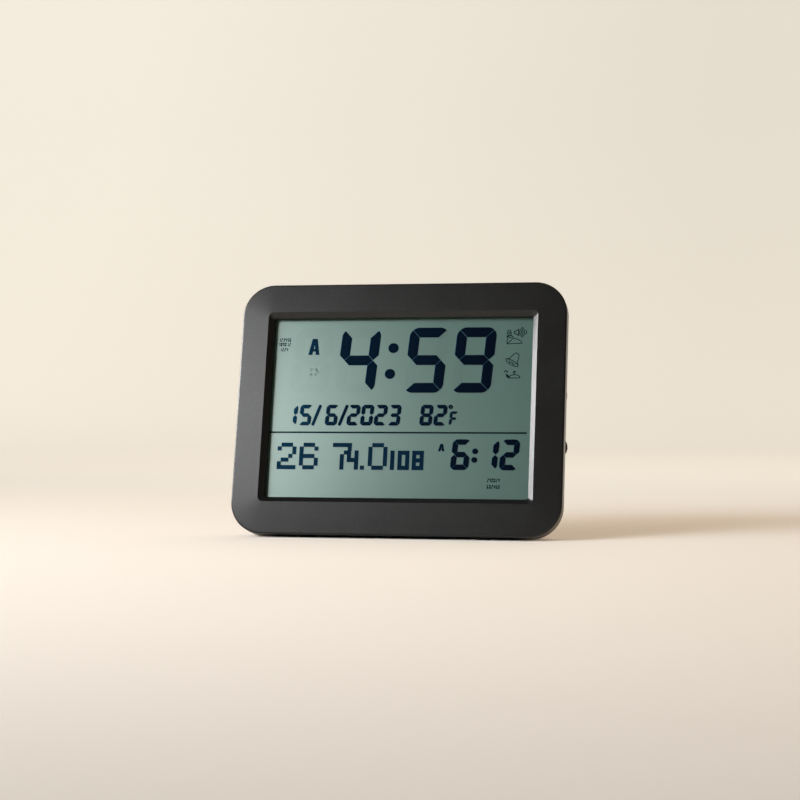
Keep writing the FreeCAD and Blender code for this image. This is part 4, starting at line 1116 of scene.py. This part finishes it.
def sweep_mesh():
    """A floor that curves up into the backdrop."""
    profile = [(FLOOR_FRONT, 0.0), (FLOOR_BACK, 0.0)]
    for k in range(1, BEND_STEPS + 1):
        turn = math.radians(90 * k / BEND_STEPS)
        profile.append((FLOOR_BACK + BEND_RADIUS * math.sin(turn),
                        BEND_RADIUS - BEND_RADIUS * math.cos(turn)))
    profile.append((FLOOR_BACK + BEND_RADIUS, BACKDROP_TOP))
    verts = []
    for y, z in profile:
        verts += [(-FLOOR_HALF_WIDTH, y, z), (FLOOR_HALF_WIDTH, y, z)]
    faces = [(2 * k, 2 * k + 1, 2 * k + 3, 2 * k + 2) for k in range(len(profile) - 1)]
    mesh = bpy.data.meshes.new("sweep")
    mesh.from_pydata(verts, [], faces)
    mesh.polygons.foreach_set("use_smooth", [True] * len(mesh.polygons))
    return mesh


def area_light(name, place, target, size, colour, beam, power):
    """A soft rectangular lamp that points at a target."""
    light = bpy.data.lights.new(name, "AREA")
    light.shape = "RECTANGLE"
    light.size, light.size_y = size
    light.spread = math.radians(beam)
    light.energy = power
    light.color = colour
    lamp = bpy.data.objects.new(name, light)
    bpy.context.scene.collection.objects.link(lamp)
    lamp.location = place
    way = Vector(target) - Vector(place)
    lamp.rotation_euler = way.to_track_quat("-Z", "Y").to_euler()
    return lamp


class CLOCK_OT_stage(bpy.types.Operator):
    """Make the floor, the lights and the camera"""

    bl_idname = "clock.stage"
    bl_label = "Stage"

    def execute(self, context):
        scene = context.scene
        sizes, colours = scene.clock_sizes, scene.clock_colours
        sweep = bpy.data.objects.new("stage_sweep", sweep_mesh())
        sweep.data.materials.append(
            floor_material(colours.floor, colours.near_glow, colours.far_glow))
        scene.collection.objects.link(sweep)
        for *shape, setting, unmet in LAMPS:
            lamp = area_light(*shape, getattr(sizes, setting))
            if unmet:
                setattr(lamp, unmet, False)
        world = bpy.data.worlds.new("stage_world")
        world.use_nodes = True
        tree = world.node_tree
        path = add(tree, "ShaderNodeLightPath")
        tints = ramp(tree, path.outputs["Is Camera Ray"], 0.0, 1.0,
                     shaded(FILL_COLOUR, sizes.fill_light), colours.far_glow)
        tree.links.new(tints, tree.nodes["Background"].inputs["Color"])
        scene.world = world
        scene.view_settings.view_transform = "Standard"
        camera = bpy.data.cameras.new("camera")
        camera.lens = CAMERA_LENS
        camera.sensor_width = CAMERA_SENSOR
        view = bpy.data.objects.new("camera", camera)
        view.location = FACE_MIDDLE + CAMERA_FROM_FACE
        view.rotation_euler = (math.radians(90), 0, CAMERA_YAW)
        scene.collection.objects.link(view)
        scene.camera = view
        return {"FINISHED"}


# ---------------------------------------------------------------- add-on

class CLOCK_PT_panel(bpy.types.Panel):
    """The clock's settings and steps"""

    bl_idname = "CLOCK_PT_panel"
    bl_label = "Azan clock"
    bl_space_type = "VIEW_3D"
    bl_region_type = "UI"
    bl_category = "Clock"

    def draw(self, context):
        layout = self.layout
        for name in ClockSizes.__annotations__:
            layout.prop(context.scene.clock_sizes, name)
        for name in ClockColours.__annotations__:
            layout.prop(context.scene.clock_colours, name)
        for step in STEPS:
            layout.operator(step.bl_idname)


STEPS = (CLOCK_OT_stage, CLOCK_OT_case, CLOCK_OT_keys, CLOCK_OT_works, CLOCK_OT_display)
CLASSES = (ClockSizes, ClockColours) + STEPS + (CLOCK_PT_panel,)


def register():
    """Add the settings, the operators and the panel."""
    for each in CLASSES:
        bpy.utils.register_class(each)
    bpy.types.Scene.clock_sizes = bpy.props.PointerProperty(type=ClockSizes)
    bpy.types.Scene.clock_colours = bpy.props.PointerProperty(type=ClockColours)


def unregister():
    """Take them out again."""
    del bpy.types.Scene.clock_colours
    del bpy.types.Scene.clock_sizes
    for each in reversed(CLASSES):
        bpy.utils.unregister_class(each)


def main():
    """Make the clock's looks and its stage."""
    register()
    bpy.ops.clock.stage()
    bpy.ops.clock.case()
    bpy.ops.clock.keys()
    bpy.ops.clock.works()
    bpy.ops.clock.display()


if __name__ == "__main__":
    main()
